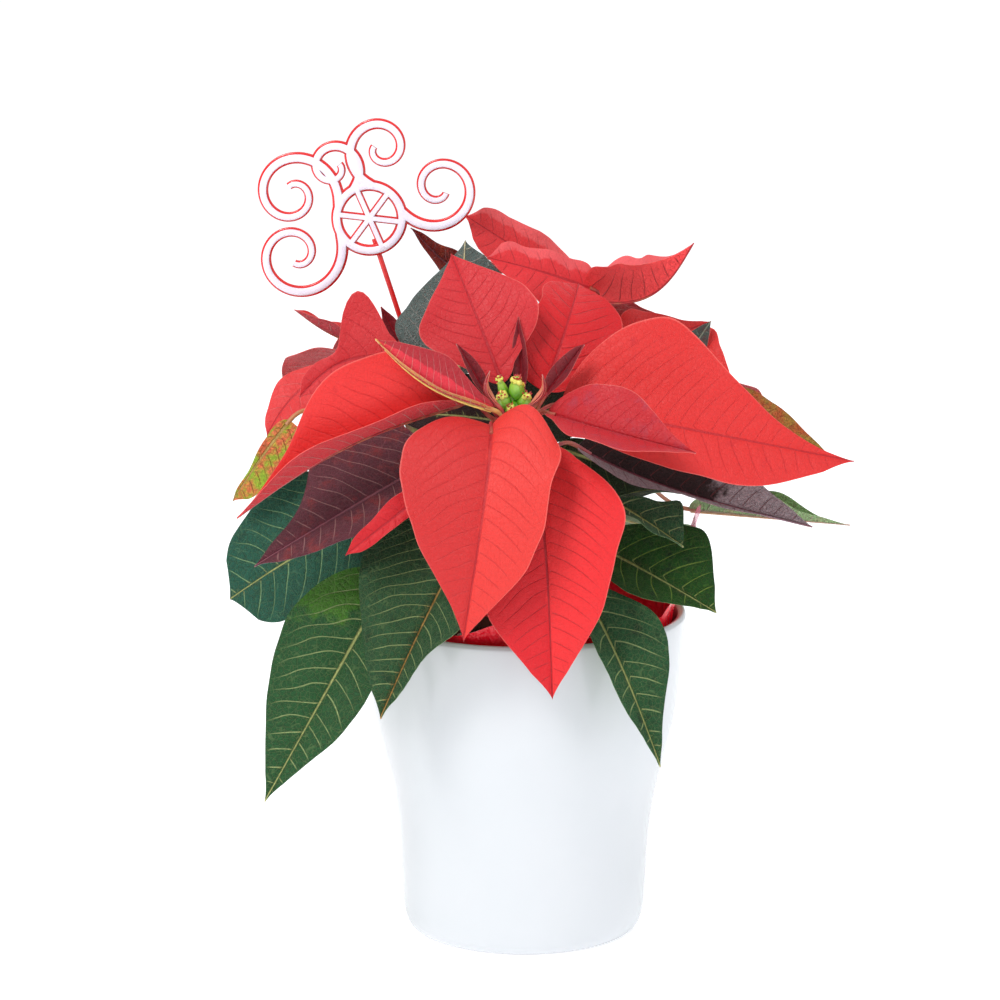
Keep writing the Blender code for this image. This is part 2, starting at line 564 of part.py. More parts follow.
def soil_profile():
    floor = NURSERY_FLOOR + NURSERY_BASE + SOIL_GAP
    gap = NURSERY_WALL + SOIL_GAP
    low = nursery_radius(floor) - gap
    high = nursery_radius(SOIL_TOP) - gap
    rings = [(48, SOIL_TOP), (26, SOIL_TOP)]
    return [(0, floor), (low, floor), (high, SOIL_TOP)] + rings + [(0, SOIL_TOP + 1)]


def soil_height(r, z, angles):
    """The soil's top in low lumps, its side left plain."""
    if z < SOIL_TOP or r > 55:
        return np.full(len(angles), float(z))
    return z + 0.9 * np.sin(5 * angles + 0.2 * r) + 0.7 * np.cos(3 * angles - 0.31 * r)


def wrap_corner(angle):
    """How far the wrap's edge rises above the rim at that angle, in radians."""
    rise = 3.0 + 1.2 * sin(7 * angle)
    for at_degrees, height, width in WRAP_CORNERS:
        away = (np.degrees(angle) - at_degrees + 180) % 360 - 180
        rise += height * max(0.0, 1 - abs(away) / width) ** 1.15
    return rise


def wrap_grid():
    """Middle surface of the wrap, from low between the pots to its free edge."""
    levels = (38, 58, 90, 126, 149)
    radii = (52.2, 54.8, 60.9, 66.2, 68.1)
    columns = []
    for j in range(WRAP_SIDES):
        angle = 2 * pi * j / WRAP_SIDES
        ripple = cos(WRAP_PLEATS * angle)
        rise = wrap_corner(angle)
        column = []
        for z, r in zip(levels, radii):
            depth = 1.0 * max(0.0, (z - 126) / 23)
            column.append(((r + depth * ripple) * cos(angle), (r + depth * ripple) * sin(angle), z))
        for share in (0.5, 1.0):
            out = 68.1 + (1.0 + 0.05 * rise * share) * ripple + 0.3 * rise * share**1.3
            column.append((out * cos(angle), out * sin(angle), 150 + rise * share))
        columns.append(column)
    return np.array(columns, float)


def ring_sheet(grid, thickness):
    """A closed sheet round the axis, from a grid whose columns run round it."""
    along = np.roll(grid, -1, 0) - np.roll(grid, 1, 0)
    up = np.gradient(grid, axis=1)
    normal = unit(np.cross(along, up))
    count, levels = grid.shape[:2]
    points = np.concatenate([
        (grid + normal * thickness / 2).reshape(-1, 3),
        (grid - normal * thickness / 2).reshape(-1, 3),
    ])
    under = count * levels
    triangles = []
    for i in range(count):
        k = (i + 1) % count
        for j in range(levels - 1):
            a, b, c, d = i * levels + j, k * levels + j, k * levels + j + 1, i * levels + j + 1
            triangles += [(a, b, c), (a, c, d)]
            triangles += [(a + under, c + under, b + under), (a + under, d + under, c + under)]
        a, b = i * levels, k * levels
        triangles += [(a, a + under, b + under), (a, b + under, b)]
        a, b = i * levels + levels - 1, k * levels + levels - 1
        triangles += [(a, b, b + under), (a, b + under, a + under)]
    return points, np.array(triangles)


def scroll(ring_angle, x, y, turns, inner, count):
    """A scroll that leaves the ring at an angle, in degrees, and winds in round (x, y)."""
    foot = RING_RADIUS * np.array([cos(radians(ring_angle)), sin(radians(ring_angle))])
    away = foot - (x, y)
    outer = np.linalg.norm(away)
    share = np.linspace(0, 1, count)
    angle = np.arctan2(away[1], away[0]) + 2 * pi * turns * share
    reach = outer + (inner - outer) * share**0.8
    return np.stack([x + reach * np.cos(angle), y + reach * np.sin(angle)], -1)


def strokes():
    """The ornament's strokes in its own plane, each a middle line and its breadth at both ends."""
    turn = np.linspace(0, 2 * pi, 17)
    ring = RING_RADIUS * np.stack([np.cos(turn), np.sin(turn)], -1)
    found = [(ring, 0.9, 0.9)]
    for angle in (radians(30), radians(90), radians(150)):
        end = RING_RADIUS * np.array([cos(angle), sin(angle)])
        found.append((np.array([-end, end]), 0.6, 0.6))
    for ring_angle, x, y, turns, inner, count in SCROLLS:
        found.append((scroll(ring_angle, x, y, turns, inner, count), 1.0, 0.6))
    return found


def ribbon(stroke, width, near, far):
    """A closed flat bar along a stroke, between two depths."""
    line, first, last = stroke
    closed = np.linalg.norm(line[0] - line[-1]) < 1e-6
    if closed:
        line = line[:-1]
        along = unit(np.roll(line, -1, 0) - np.roll(line, 1, 0))
    else:
        along = unit(np.gradient(line, axis=0))
    count = len(line)
    breadth = width * np.linspace(first, last, count)[:, None]
    side = np.stack([-along[:, 1], along[:, 0]], -1) * breadth / 2
    points = []
    for offset in (side, -side):
        for depth in (near, far):
            points.append(np.concatenate([line + offset, np.full((count, 1), depth)], 1))
    points = np.concatenate(points)
    triangles = []
    corners = (0, count, 3 * count, 2 * count)
    for i in range(count if closed else count - 1):
        k = (i + 1) % count
        for m in range(4):
            a, b = corners[m], corners[(m + 1) % 4]
            triangles += [(a + i, b + i, b + k), (a + i, b + k, a + k)]
    if not closed:
        a, b, c, d = corners
        triangles += [(a, c, b), (a, d, c)]
        e = count - 1
        triangles += [(a + e, b + e, c + e), (a + e, c + e, d + e)]
    return points, np.array(triangles)


def in_pick(points):
    """From the ornament's plane into the part: leaning, and facing the photograph's side."""
    c, s = cos(radians(PICK_LEAN)), sin(radians(PICK_LEAN))
    x = points[:, 0] * c - points[:, 1] * s
    z = points[:, 0] * s + points[:, 1] * c
    return np.stack([x, points[:, 2], z], -1) + np.array(PICK_CENTRE)


def outward(piece):
    """The piece with its faces turned out."""
    points, triangles = piece
    p = np.asarray(points, float)[triangles]
    volume = np.einsum("ij,ij->i", p[:, 0], np.cross(p[:, 1], p[:, 2])).sum()
    return (points, triangles[:, ::-1]) if volume < 0 else piece


def pick_layer(width, near, far):
    pieces = []
    for stroke in strokes():
        points, triangles = ribbon(stroke, width, near, far)
        pieces.append(outward((in_pick(points), triangles)))
    return pieces


def egg(centre, axis, radius, length, sides, rings):
    """A small closed egg along an axis."""
    centre = np.asarray(centre, float)
    axis = unit(axis)
    share = np.linspace(0, 1, rings + 2)[1:-1]
    line = [centre + axis * length * (s - 0.5) for s in (0, *share, 1)]
    side = unit(np.cross(axis, (0.3, 0.2, 1) if abs(axis[2]) < 0.9 else (1, 0.2, 0)))
    other = np.cross(axis, side)
    angles = 2 * pi * np.arange(sides) / sides
    points = []
    for s in share:
        reach = radius * sin(pi * s**0.9)
        ring = np.cos(angles)[:, None] * side + np.sin(angles)[:, None] * other
        points.append(centre + axis * length * (s - 0.5) + reach * ring)
    points = np.concatenate(points + [[line[0], line[-1]]])
    triangles = []
    for i in range(rings - 1):
        for j in range(sides):
            k = (j + 1) % sides
            triangles += [(i * sides + j, i * sides + k, (i + 1) * sides + k)]
            triangles += [(i * sides + j, (i + 1) * sides + k, (i + 1) * sides + j)]
    first = rings * sides
    for j in range(sides):
        k = (j + 1) % sides
        triangles.append((first, k, j))
        triangles.append((first + 1, (rings - 1) * sides + j, (rings - 1) * sides + k))
    return outward((points, np.array(triangles)))


def plane_axes(axis):
    axis = unit(axis)
    side = unit(np.cross(axis, (0, 1, 0.2)))
    return side, np.cross(axis, side)


def disc(name):
    """The disc under a bloom, which its bracts grow from."""
    axis = unit(BLOOM_AXES[name])
    centre = bloom_centre(name)
    return tube([centre + axis * rise for rise, _ in DISC], [radius for _, radius in DISC], DISC_SIDES)


def cyathia(name):
    """The little cups of a bloom, round a low boss above the disc."""
    axis = unit(BLOOM_AXES[name])
    side, other = plane_axes(axis)
    centre = bloom_centre(name)
    pieces = [tube([centre + axis * rise for rise, _ in BOSS], [radius for _, radius in BOSS], 8)]
    count, size = CUP_COUNTS[name]
    sides = 6 if name == "front" else 5
    for turn, out, rise, radius, length in CUPS[:count]:
        away = cos(radians(turn)) * side + sin(radians(turn)) * other
        lean = unit(axis + away * out * CUP_LEAN)
        cup_foot = centre + axis * (CUP_START + rise * size) + away * out * CUP_SPREAD * size
        middle = cup_foot + lean * length * size * CUP_MIDDLE
        pieces.append(egg(middle, lean, radius * size, length * size, sides, 2))
    return pieces


def blade_pieces(b):
    """The blade and its stalk: fewer facets on the smaller ones."""
    length = np.linalg.norm(b.tip - b.base)
    rows, columns = (6, 4) if length > LONG_BLADE else (6, 2)
    if length < SHORT_BLADE:
        rows, columns = (4, 2)
    sheet = outward(thick(blade_grid(b, rows, columns), BLADE_THICKNESS))
    return [sheet, outward(tube(petiole(b, 4), STALK_RADII, 3))]


def grown(branch, kind):
    """The blades of one kind on a branch, with their stalks."""
    return [piece for b in BLADES if (b.branch, b.kind) == (branch, kind) for piece in blade_pieces(b)]


def build_pots():
    profile = [(0, 0), *POT_OUTSIDE, *POT_INSIDE, (0, POT_FLOOR)]
    new_object("pot", *outward(lathe(profile, POT_SIDES)))
    new_object("nursery_pot", *outward(lathe(nursery_profile(), POT_SIDES)))
    soil = new_object("soil", *outward(lathe(soil_profile(), POT_SIDES, height=soil_height)))
    holes = bpy.data.collections.new("holes")
    bpy.context.scene.collection.children.link(holes)
    foot = np.array(STICK_FOOT, float)
    lean = unit(np.array(STICK_HEAD) - foot)
    stem_hole = [(0, 0, SOIL_TOP - HOLE_DEPTH), (0, 0, SOIL_TOP + HOLE_TOP)]
    stick_hole = [foot - lean * SEAT_GAP, foot + lean * STICK_HOLE_LENGTH]
    stick_hole_radius = STICK_RADIUS + SEAT_GAP
    for piece in (
        tube(stem_hole, (HOLE_RADIUS, HOLE_RADIUS), 16),
        tube(stick_hole, (stick_hole_radius, stick_hole_radius), 10),
    ):
        cutter = new_object("hole", *outward(piece))
        bpy.context.scene.collection.objects.unlink(cutter)
        holes.objects.link(cutter)
    apply_boolean(soil, "DIFFERENCE", holes)
    new_object("foil_wrap", *outward(ring_sheet(wrap_grid(), WRAP_THICKNESS)))


def build_pick():
    stick = outward(tube([STICK_FOOT, STICK_HEAD], (STICK_RADIUS, STICK_RADIUS), 6))
    fused("pick_back", pick_layer(PLATE_STROKE, 0, PLATE_THICKNESS) + [stick])
    fused("pick_face", pick_layer(FACE_STROKE, -FACE_GAP - FACE_THICKNESS, -FACE_GAP))


def build_plant():
    new_object("main_stem", *outward(tube(MAIN_STEM, MAIN_STEM_RADII, 10)))
    for name, line in BRANCHES.items():
        branch = outward(tube(bezier(*line, 7), BRANCH_RADII, 7))
        fused("leafy_stem_" + name, [branch] + grown(name, "leaf"))
        fused("bloom_" + name, [outward(disc(name))] + grown(name, "bract"))
        fused("cyathia_" + name, [outward(piece) for piece in cyathia(name)])
    for b in BLADES:
        if b.kind in LOOSE_KINDS:
            fused(LOOSE_NAMES[b.name], blade_pieces(b))


def main():
    for obj in list(bpy.data.objects):
        bpy.data.objects.remove(obj)
    build_pots()
    build_pick()
    build_plant()
    for obj in bpy.data.objects:
        finish(obj)


main()
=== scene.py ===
"""Looks of the poinsettia in its glazed pot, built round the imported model."""
from collections import namedtuple
from math import cos, pi, radians, sin
import random

import bpy
import numpy as np
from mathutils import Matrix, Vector


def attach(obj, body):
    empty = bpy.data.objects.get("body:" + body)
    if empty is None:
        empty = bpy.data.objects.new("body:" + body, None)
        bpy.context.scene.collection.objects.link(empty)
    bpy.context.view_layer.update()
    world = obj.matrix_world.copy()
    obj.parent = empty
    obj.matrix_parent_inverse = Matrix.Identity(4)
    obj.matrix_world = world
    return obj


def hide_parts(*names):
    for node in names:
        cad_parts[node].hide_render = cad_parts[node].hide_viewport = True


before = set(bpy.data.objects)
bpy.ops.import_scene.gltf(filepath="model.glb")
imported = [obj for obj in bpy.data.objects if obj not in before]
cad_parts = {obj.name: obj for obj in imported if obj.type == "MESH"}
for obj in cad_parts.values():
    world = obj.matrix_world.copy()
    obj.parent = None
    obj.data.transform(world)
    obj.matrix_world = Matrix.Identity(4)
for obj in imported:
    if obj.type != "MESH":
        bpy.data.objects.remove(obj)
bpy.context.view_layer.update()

# Stems. Each branch starts beside the main stem and ends under its bloom.
MAIN_STEM = ((0, 0, 98), (0, 0, 130), (0.5, 0, 150), (0, 0, 168))
MAIN_STEM_RADII = (5.5, 5.5, 5.0, 4.6)
BRANCHES = {
    "front": ((0, -8.2, 147), (-1, -15, 170), (-3, -32, 212), (-4, -43, 243)),
    "left": ((-7.6, 0, 150), (-20, 4, 178), (-44, 14, 218), (-61, 22, 247)),
    "right": ((8.2, 1, 152), (20, 6, 180), (42, 17, 218), (58, 26, 246)),
    "rear": ((-2.25, 7.4, 150), (-7, 20, 180), (-18, 52, 226), (-25, 74, 256)),
    "crown": ((0.5, 0.2, 169.9), (5, 10, 200), (16, 31, 246), (26, 45, 278)),
}
BRANCH_RADII = (3.2, 2.9, 2.5, 2.2)
# Which way each bloom looks, and where the disc under it is.
BLOOM_AXES = {
    "front": (-0.05, -0.42, 0.9),
    "left": (-0.42, 0.05, 0.9),
    "right": (0.42, 0.1, 0.9),
    "rear": (-0.15, 0.5, 0.85),
    "crown": (0.05, 0.1, 0.99),
}
BLOOM_RISE = 4.0
# The disc that a bloom's bracts grow from: how far along its axis, and its radius there.
DISC = ((-2.9, 2.4), (-1.4, 5.2), (1.6, 5.6), (2.4, 3.6))
STALK_FOOT = 3.6
# The boss above the disc that carries the little cups: how far along the axis, and its radius there.
BOSS = ((2.8, 4.4), (8.6, 4.4), (11.4, 2.8))
CUP_START = 8.0
# How far a cup leans out for each mm that it stands out, how far it stands out at its foot, and where its
# middle is.
CUP_LEAN = 0.06
CUP_SPREAD = 0.8
CUP_MIDDLE = 0.42
# The cups of a bloom: angle round the boss in degrees, how far out, how far up, radius and length.
CUPS = (
    (170, 1.2, 3.5, 3.5, 14.0),
    (20, 4.6, 0.0, 3.3, 10.0),
    (160, 4.6, 0.0, 3.2, 9.5),
    (335, 4.6, 2.0, 2.3, 13.5),
    (70, 4.8, -1.5, 2.4, 6.5),
    (235, 4.2, 0.0, 2.8, 10.0),
)
# How many of them each bloom has, and their size against those of the front one.
CUP_COUNTS = {"front": (6, 1.0), "left": (4, 0.75), "right": (4, 0.75), "rear": (4, 0.75), "crown": (4, 0.6)}
# Leaves of other colours than green are pieces of their own, whose stalks end just short of the branch.
LOOSE_KINDS = ("dusk", "turning")
LOOSE_NAMES = {
    "m1": "dark_leaf_left",
    "m2": "dark_leaf_right",
    "m4": "dark_leaf_crown",
    "c4": "dark_leaf_rear",
    "o1": "turning_leaf_left",
    "o2": "turning_leaf_right",
}
STALK_RADII = (1.4, 1.1)
LOOSE_STALK_GAP = 0.85

# One leaf or bract. base and tip are the ends of its rib; face is the way its upper side looks.
# left and right are its half widths at a tenth, three, five, seven and nine tenths of its length.
# arch and side bow the rib, and peak is where the bow is highest. fold, curl and roll turn its halves, in
# degrees, and wave is the ripple of their edges, in mm.
# join is how far up the branch it grows, 1 being the disc under the bloom.
# heart is how far its halves reach back past the stalk, left and right.
FIELDS = "name branch kind join base tip face left right arch side peak fold curl roll wave heart"
Blade = namedtuple("Blade", FIELDS)
STATIONS = (0.1, 0.3, 0.5, 0.7, 0.9)
BLADES = []


def blade(name, branch, kind, join, base, tip, face, left, right=None, arch=0, side=0, peak=0.5,
          fold=6, curl=0, roll=0, wave=1.0, heart=(0, 0)):
    ends = [np.array(v, float) for v in (base, tip, face)]
    widths = (left, right or left)
    bends = (arch, side, peak, fold, curl, roll, wave, heart)
    BLADES.append(Blade(name, branch, kind, join, *ends, *widths, *bends))


def bract(name, branch, *row, **bends):
    blade(name, branch, "bract", 1, *row, **bends)


# Front bloom.
bract("b1", "front", (-15, -63, 248), (-27, -104, 160), (0.05, -1, 0.35), (29, 28, 27, 20, 6),
      (33, 38, 32, 20, 5), arch=15, side=-1, peak=0.36, fold=8, curl=-8, roll=4, heart=(11, 4))
bract("b2", "front", (2, -51, 238), (12, -93, 131), (0.12, -1, 0.25), (19, 36, 30, 22, 7),
      (11, 23, 26, 26, 9), arch=14, peak=0.4, fold=6, curl=-6, side=-1)
bract("b3", "front", (16, -42, 253), (146, -55, 230), (0, -0.9, 0.45), (32, 48, 32, 13, 2),
      (12, 18, 21, 20, 8), arch=4, side=1, peak=0.4)
bract("b4", "front", (10, -56, 252), (74, -90, 241), (0, -0.65, 0.75), (12, 19, 20, 12, 3),
      (7, 16, 17, 15, 6), arch=3, side=3, fold=30)
bract("b5", "front", (-10, -38, 262), (-33, -8, 316), (0.05, -1, 0.25), (8, 21, 27, 17, 5),
      (8, 24, 27, 18, 5), arch=3, fold=8)
bract("b6", "front", (9, -30, 257), (25, 12, 299), (0.1, -1, 0.35), (16, 17, 16, 15, 12),
      (12, 18, 22, 24, 12), arch=8, fold=5)
bract("b7", "front", (-27, -54, 256), (-127, -72, 208), (0, -0.45, 0.89), (9, 12, 14, 16, 5),
      (27, 34, 29, 12, 2), arch=10, side=-2, fold=64)
bract("b8", "front", (-14, -62, 254.5), (-65, -78, 289), (0, -0.4, 0.9), (3, 3, 3, 2, 1), (5, 12, 15, 12, 5),
      arch=-5, side=-2, fold=60, wave=0.3)
bract("b9", "front", (-17, -47, 258), (-30, -50, 282), (0.5, -0.8, 0.3), (2, 4, 4, 3, 1), fold=30, wave=0)
bract("b10", "front", (-1, -34, 257), (-3, -32, 291), (-0.2, -1, 0.2), (2, 4, 4, 3, 1), fold=30, wave=0)
bract("b11", "front", (9, -46, 258), (26, -46, 281), (-0.4, -0.8, 0.5), (3, 5, 5, 4, 2), (3, 6, 7, 5, 2),
      fold=35, wave=0)
bract("b12", "front", (-12, -60, 256), (-15, -64, 272), (0.9, -0.3, 0.3), (1.5, 2.6, 2.4, 1.6, 0.8), arch=-4,
      fold=30, wave=0)
bract("b13", "front", (2, -60, 256), (7, -64, 270.5), (-0.9, -0.3, 0.3), (1.5, 2.6, 2.4, 1.6, 0.8), arch=-4,
      fold=30, wave=0)
bract("r1", "front", (-32, -73, 229), (-79, -80, 193), (0, -1, 0.3), (3, 4, 4, 4, 3), (4, 6, 7, 5, 3))
# Leaves on the front branch.
blade("m1", "front", "dusk", 0.8, (-38, -34, 228), (-120, -66, 185), (-0.2, -0.85, 0.5), (12, 20, 20, 15, 6),
      (46, 45, 32, 13, 4), arch=6, side=-2, fold=10, roll=18)
blade("m2", "front", "dusk", 0.75, (24, -16, 229), (130, -30, 195), (0, -0.5, 0.87), (17, 27, 24, 17, 6),
      (10, 11, 6, 3, 1), arch=-5, side=1, peak=0.4, fold=26)
blade("g2", "front", "leaf", 0.3, (-60, -40, 175), (-116, -78, 80), (-0.1, -0.95, 0.3), (7, 16, 19, 14, 4),
      (22, 31, 28, 19, 6), arch=6, side=-1, fold=12, roll=4)
blade("g3", "front", "leaf", 0.5, (-21, -46, 201), (-64, -88, 121), (-0.15, -0.95, 0.3), (8, 20, 30, 14, 5),
      (34, 40, 34, 23, 9), arch=8, fold=22, roll=26)
blade("g4", "front", "leaf", 0.25, (26, -53, 172), (60, -88, 99), (0.1, -0.95, 0.3), (13, 25, 22, 12, 4),
      (6, 13, 13, 10, 4), arch=5, side=-1, fold=22, roll=-28)
# Left bloom and the leaves of its branch.
bract("c5", "left", (-56, 6, 266), (-102, -8, 250), (0, -0.9, 0.4), (8, 14, 14, 10, 4), (10, 31, 7, 6, 4),
      side=8, fold=4)
bract("c6", "left", (-66, 30, 266), (-105, 20, 286), (0, 0, 1), (5, 8, 8, 6, 3), arch=-3, fold=35)
bract("c7", "left", (-57, 34, 268), (-66, 38, 284), (0, -1, 0.5), (3, 4, 4, 3, 1), arch=-2, fold=30, wave=0)
bract("c8", "left", (-90, 26, 257), (-118, 8, 229), (-0.4, -0.8, 0.4), (6, 10, 10, 7, 3), side=4, fold=5)
bract("c12", "left", (-74, 36, 262), (-112, 74, 236), (0, 0.3, 1), (9, 17, 19, 15, 6), arch=5, fold=10)
bract("c13", "left", (-62, 40, 264), (-72, 92, 243), (0, 0.3, 1), (9, 16, 18, 14, 6), arch=4, fold=12)
blade("o1", "left", "turning", 0.85, (-107, 4, 237), (-133, -8, 202), (-0.3, -0.9, 0.3), (14, 15, 12, 10, 6),
      (4, 4, 2.5, 1.5, 1), arch=2)
blade("g1", "left", "leaf", 0.45, (-67, 0, 194), (-135, -8, 156), (-0.3, -0.85, 0.4), (16, 24, 25, 25, 17),
      (18, 38, 36, 28, 16), arch=6, fold=4)
blade("g13", "left", "leaf", 0.6, (-58, 30, 205), (-112, 62, 148), (-0.3, 0.3, 0.9), (12, 21, 24, 20, 8),
      arch=10, fold=10)
# Right bloom and the leaves of its branch.
bract("d1", "right", (64, 12, 262), (97, 0, 246), (0, -0.9, 0.4), (17, 25, 19, 12, 5), (10, 16, 18, 14, 6),
      fold=5)
bract("d2", "right", (68, 19, 254), (85, 10, 282), (0, -0.9, 0.4), (4, 7, 7, 5, 2), fold=8, wave=0.4)
bract("d3", "right", (76, 34, 254), (104, 78, 214), (0.2, 0.1, 1), (10, 19, 21, 16, 6), arch=7, fold=10)
bract("d4", "right", (66, 44, 258), (74, 100, 240), (0.1, 0.3, 1), (9, 18, 20, 15, 6), arch=6, fold=12)
blade("o2", "right", "turning", 0.85, (82, 30, 243), (140, 12, 220), (0.1, -0.8, 0.55), (7, 12, 10, 6, 2),
      (8, 12, 12, 9, 4), arch=4)
blade("g5", "right", "leaf", 0.3, (30, -28, 187), (86, -50, 160), (0.1, -0.9, 0.4), (12, 21, 29, 27, 10),
      (8, 18, 20, 12, 4), arch=3, fold=18, roll=-22)
blade("g6", "right", "leaf", 0.5, (40, -33, 207), (71, -49, 190), (0.1, -0.9, 0.4), (5, 10, 14, 16, 6),
      (4, 8, 10, 8, 3), arch=2, fold=25, roll=-35)
blade("g7", "right", "leaf", 0.6, (77, 30, 190), (150, 6, 188), (0, 0.1, 1), (6, 12, 14, 6, 1),
      (8, 14, 15, 6, 1), fold=55)
blade("g24", "right", "leaf", 0.5, (14, -3, 226), (60, -8, 209), (0.1, -0.9, 0.4), (6, 8, 8, 6, 3),
      (14, 18, 16, 12, 4), arch=3, fold=8)
blade("g15", "right", "leaf", 0.6, (58, 36, 205), (92, 80, 180), (0.2, 0.2, 0.9), (11, 20, 22, 17, 7),
      arch=8, fold=10)
# Crown bloom and the leaf behind the front bloom.
bract("c1", "crown", (24, 62, 290), (-27, 42, 326), (0, -0.75, 0.66), (9, 14, 16, 16, 9),
      (10, 14, 13, 12, 8), fold=8)
bract("c2", "crown", (33, 30, 293), (-17, 12, 311), (0, -0.8, 0.6), (16, 20, 18, 11, 5), (11, 11, 11, 10, 8),
      arch=2, fold=8)
bract("c3", "crown", (28, 36, 288), (77, 18, 317), (0, 0.1, 1), (22, 25, 25, 18, 5), (20, 23, 20, 14, 3),
      arch=-12, fold=50)
bract("c9", "crown", (18, 60, 292), (-24, 104, 285), (0, 0.2, 1), (10, 18, 20, 16, 6), arch=6, fold=10)
bract("c10", "crown", (30, 62, 292), (42, 120, 268), (0, 0.3, 1), (11, 20, 23, 18, 7), arch=7, fold=10)
bract("c11", "crown", (37, 56, 286), (56, 102, 246), (0.1, 0.4, 0.9), (9, 16, 18, 14, 6), arch=2, fold=12)
bract("d5", "right", (46, 38, 262), (88, 58, 274), (0, -0.75, 0.6), (15, 19, 14, 6, 2), (8, 12, 12, 8, 3),
      fold=8)
blade("m3", "crown", "leaf", 0.55, (-30, 6, 258), (-27, 24, 317), (0, 1, 0.1), (12, 22, 26, 21, 9),
      (20, 30, 25, 15, 4), arch=-4, fold=8)
blade("g20", "crown", "leaf", 0.16, (34, 2, 200), (94, 8, 202), (0.1, -0.1, 1), (7, 13, 14, 11, 4), arch=4,
      fold=10)
blade("g21", "crown", "leaf", 0.2, (-24, -6, 212), (-88, -16, 214), (-0.1, -0.2, 1), (7, 14, 15, 11, 4),
      arch=5, fold=10)
blade("g22", "crown", "leaf", 0.5, (-4, 0, 236), (-62, -14, 243), (-0.1, -0.6, 0.8), (12, 20, 20, 15, 5),
      (20, 25, 19, 12, 4), arch=3, fold=8)
blade("g23", "crown", "leaf", 0.45, (-20, 16, 240), (44, 2, 238), (0.1, -0.7, 0.7), (24, 32, 24, 15, 4),
      (12, 20, 22, 15, 5), arch=3, fold=8)
blade("m4", "crown", "dusk", 0.7, (48, 74, 252), (84, 108, 220), (0.2, 0.3, 0.9), (10, 17, 18, 13, 5),
      arch=6, fold=12)
# Rear bloom and the leaves of its branch.
bract("e1", "rear", (-38, 84, 262), (-94, 112, 236), (0, 0.3, 1), (12, 21, 24, 19, 8), arch=9, fold=8)
bract("e2", "rear", (-28, 92, 262), (-34, 152, 235), (0, 0.4, 1), (13, 22, 26, 20, 8), arch=10, fold=8)
bract("e3", "rear", (-17, 88, 263), (26, 138, 244), (0, 0.4, 1), (12, 21, 24, 18, 7), arch=9, fold=8)
bract("e5", "rear", (-18, 74, 272), (-8, 66, 288), (0, 0.6, 0.8), (4, 7, 8, 6, 2), fold=20)
blade("c4", "rear", "dusk", 0.9, (-21, 62, 290), (-52, 44, 320), (-0.3, -0.7, 0.6), (5, 6, 5, 3, 1),
      (6, 8, 7, 4, 2), side=-2, fold=12)
blade("g10", "rear", "leaf", 0.3, (-34, 52, 190), (-68, 108, 98), (-0.2, 0.9, 0.4), (13, 23, 26, 20, 8),
      arch=12, fold=10)
blade("g11", "rear", "leaf", 0.35, (18, 50, 195), (50, 122, 104), (0.2, 0.9, 0.4), (13, 23, 26, 20, 8),
      arch=12, fold=10)
blade("g14", "rear", "leaf", 0.6, (-16, 78, 212), (-8, 140, 128), (0, 0.9, 0.4), (14, 24, 27, 21, 8),
      arch=12, fold=9)
blade("g12", "rear", "leaf", 0.25, (42, 34, 186), (84, 84, 138), (0.4, 0.5, 0.7), (11, 20, 23, 18, 7),
      arch=9, fold=10)


# The edges' ripples over a blade's length, how far those of one half lie behind the other's, and how full the
# blade's outline is where it is widest.
RIPPLES = 2.3
RIPPLE_SHIFT = 1.4
FULLEST = 0.41
# Shares of the blade's length: the drawn out point, the base's lobes and the stalk's way along the rib.
POINT_SHARE = 0.1
LOBE_SHARE = 0.35
STALK_SHARE = 0.06
# How far the stalk runs on from the branch, and into the rib, before it turns.
STALK_START = 0.45
STALK_END = 0.4
BRANCH_STEPS = 40


def unit(v):
    """v at length 1."""
    v = np.asarray(v, float)
    return v / np.maximum(np.linalg.norm(v, axis=-1, keepdims=True), 1e-12)


def turned(v, axis, angle):
    """v turned about axis by angle, in radians."""
    c = np.cos(angle)[..., None]
    s = np.sin(angle)[..., None]
    along = np.sum(axis * v, -1, keepdims=True)
    return v * c + np.cross(axis, v) * s + axis * along * (1 - c)


def envelope(t):
    """Round at the base, drawn out to a point at the tip."""
    return np.clip(t, 0, 1) ** 0.5 * np.clip(1 - t, 0, 1) ** 0.85


def half_width(t, widths):
    """Half width at t: the widths at the stations joined by a smooth curve."""
    s = np.array(STATIONS)
    share = np.array(widths, float) / envelope(s)
    slope = np.gradient(share, s)
    i = np.clip(np.searchsorted(s, t) - 1, 0, len(s) - 2)
    gap = s[i + 1] - s[i]
    x = np.clip((t - s[i]) / gap, 0, 1)
    start = (2 * x**3 - 3 * x**2 + 1) * share[i] + (x**3 - 2 * x**2 + x) * gap * slope[i]
    end = (3 * x**2 - 2 * x**3) * share[i + 1] + (x**3 - x**2) * gap * slope[i + 1]
    drawn_out = (np.clip(1 - t, 0, POINT_SHARE) / POINT_SHARE) ** 0.5
    return np.maximum(start + end, 0) * envelope(t) * drawn_out


def rib(b, t):
    """Points of the blade's rib."""
    chord = b.tip - b.base
    along = unit(chord)
    normal = unit(b.face - (b.face @ along) * along)
    across = np.cross(along, normal)
    hump = np.sin(pi * np.clip(t, 0, 1) ** (np.log(0.5) / np.log(b.peak)))
    return b.base + chord * t[:, None] + (b.arch * normal + b.side * across) * hump[:, None]


def rib_frame(b, t):
    """Points of the rib, and at each the way along it, across the blade and out of its upper side."""
    step = 1e-3
    point = rib(b, t)
    along = unit(rib(b, np.clip(t + step, 0, 1)) - rib(b, np.clip(t - step, 0, 1)))
    normal = unit(b.face - (along @ b.face)[:, None] * along)
    normal = turned(normal, along, np.full(len(t), radians(b.roll)))
    return point, along, np.cross(along, normal), normal


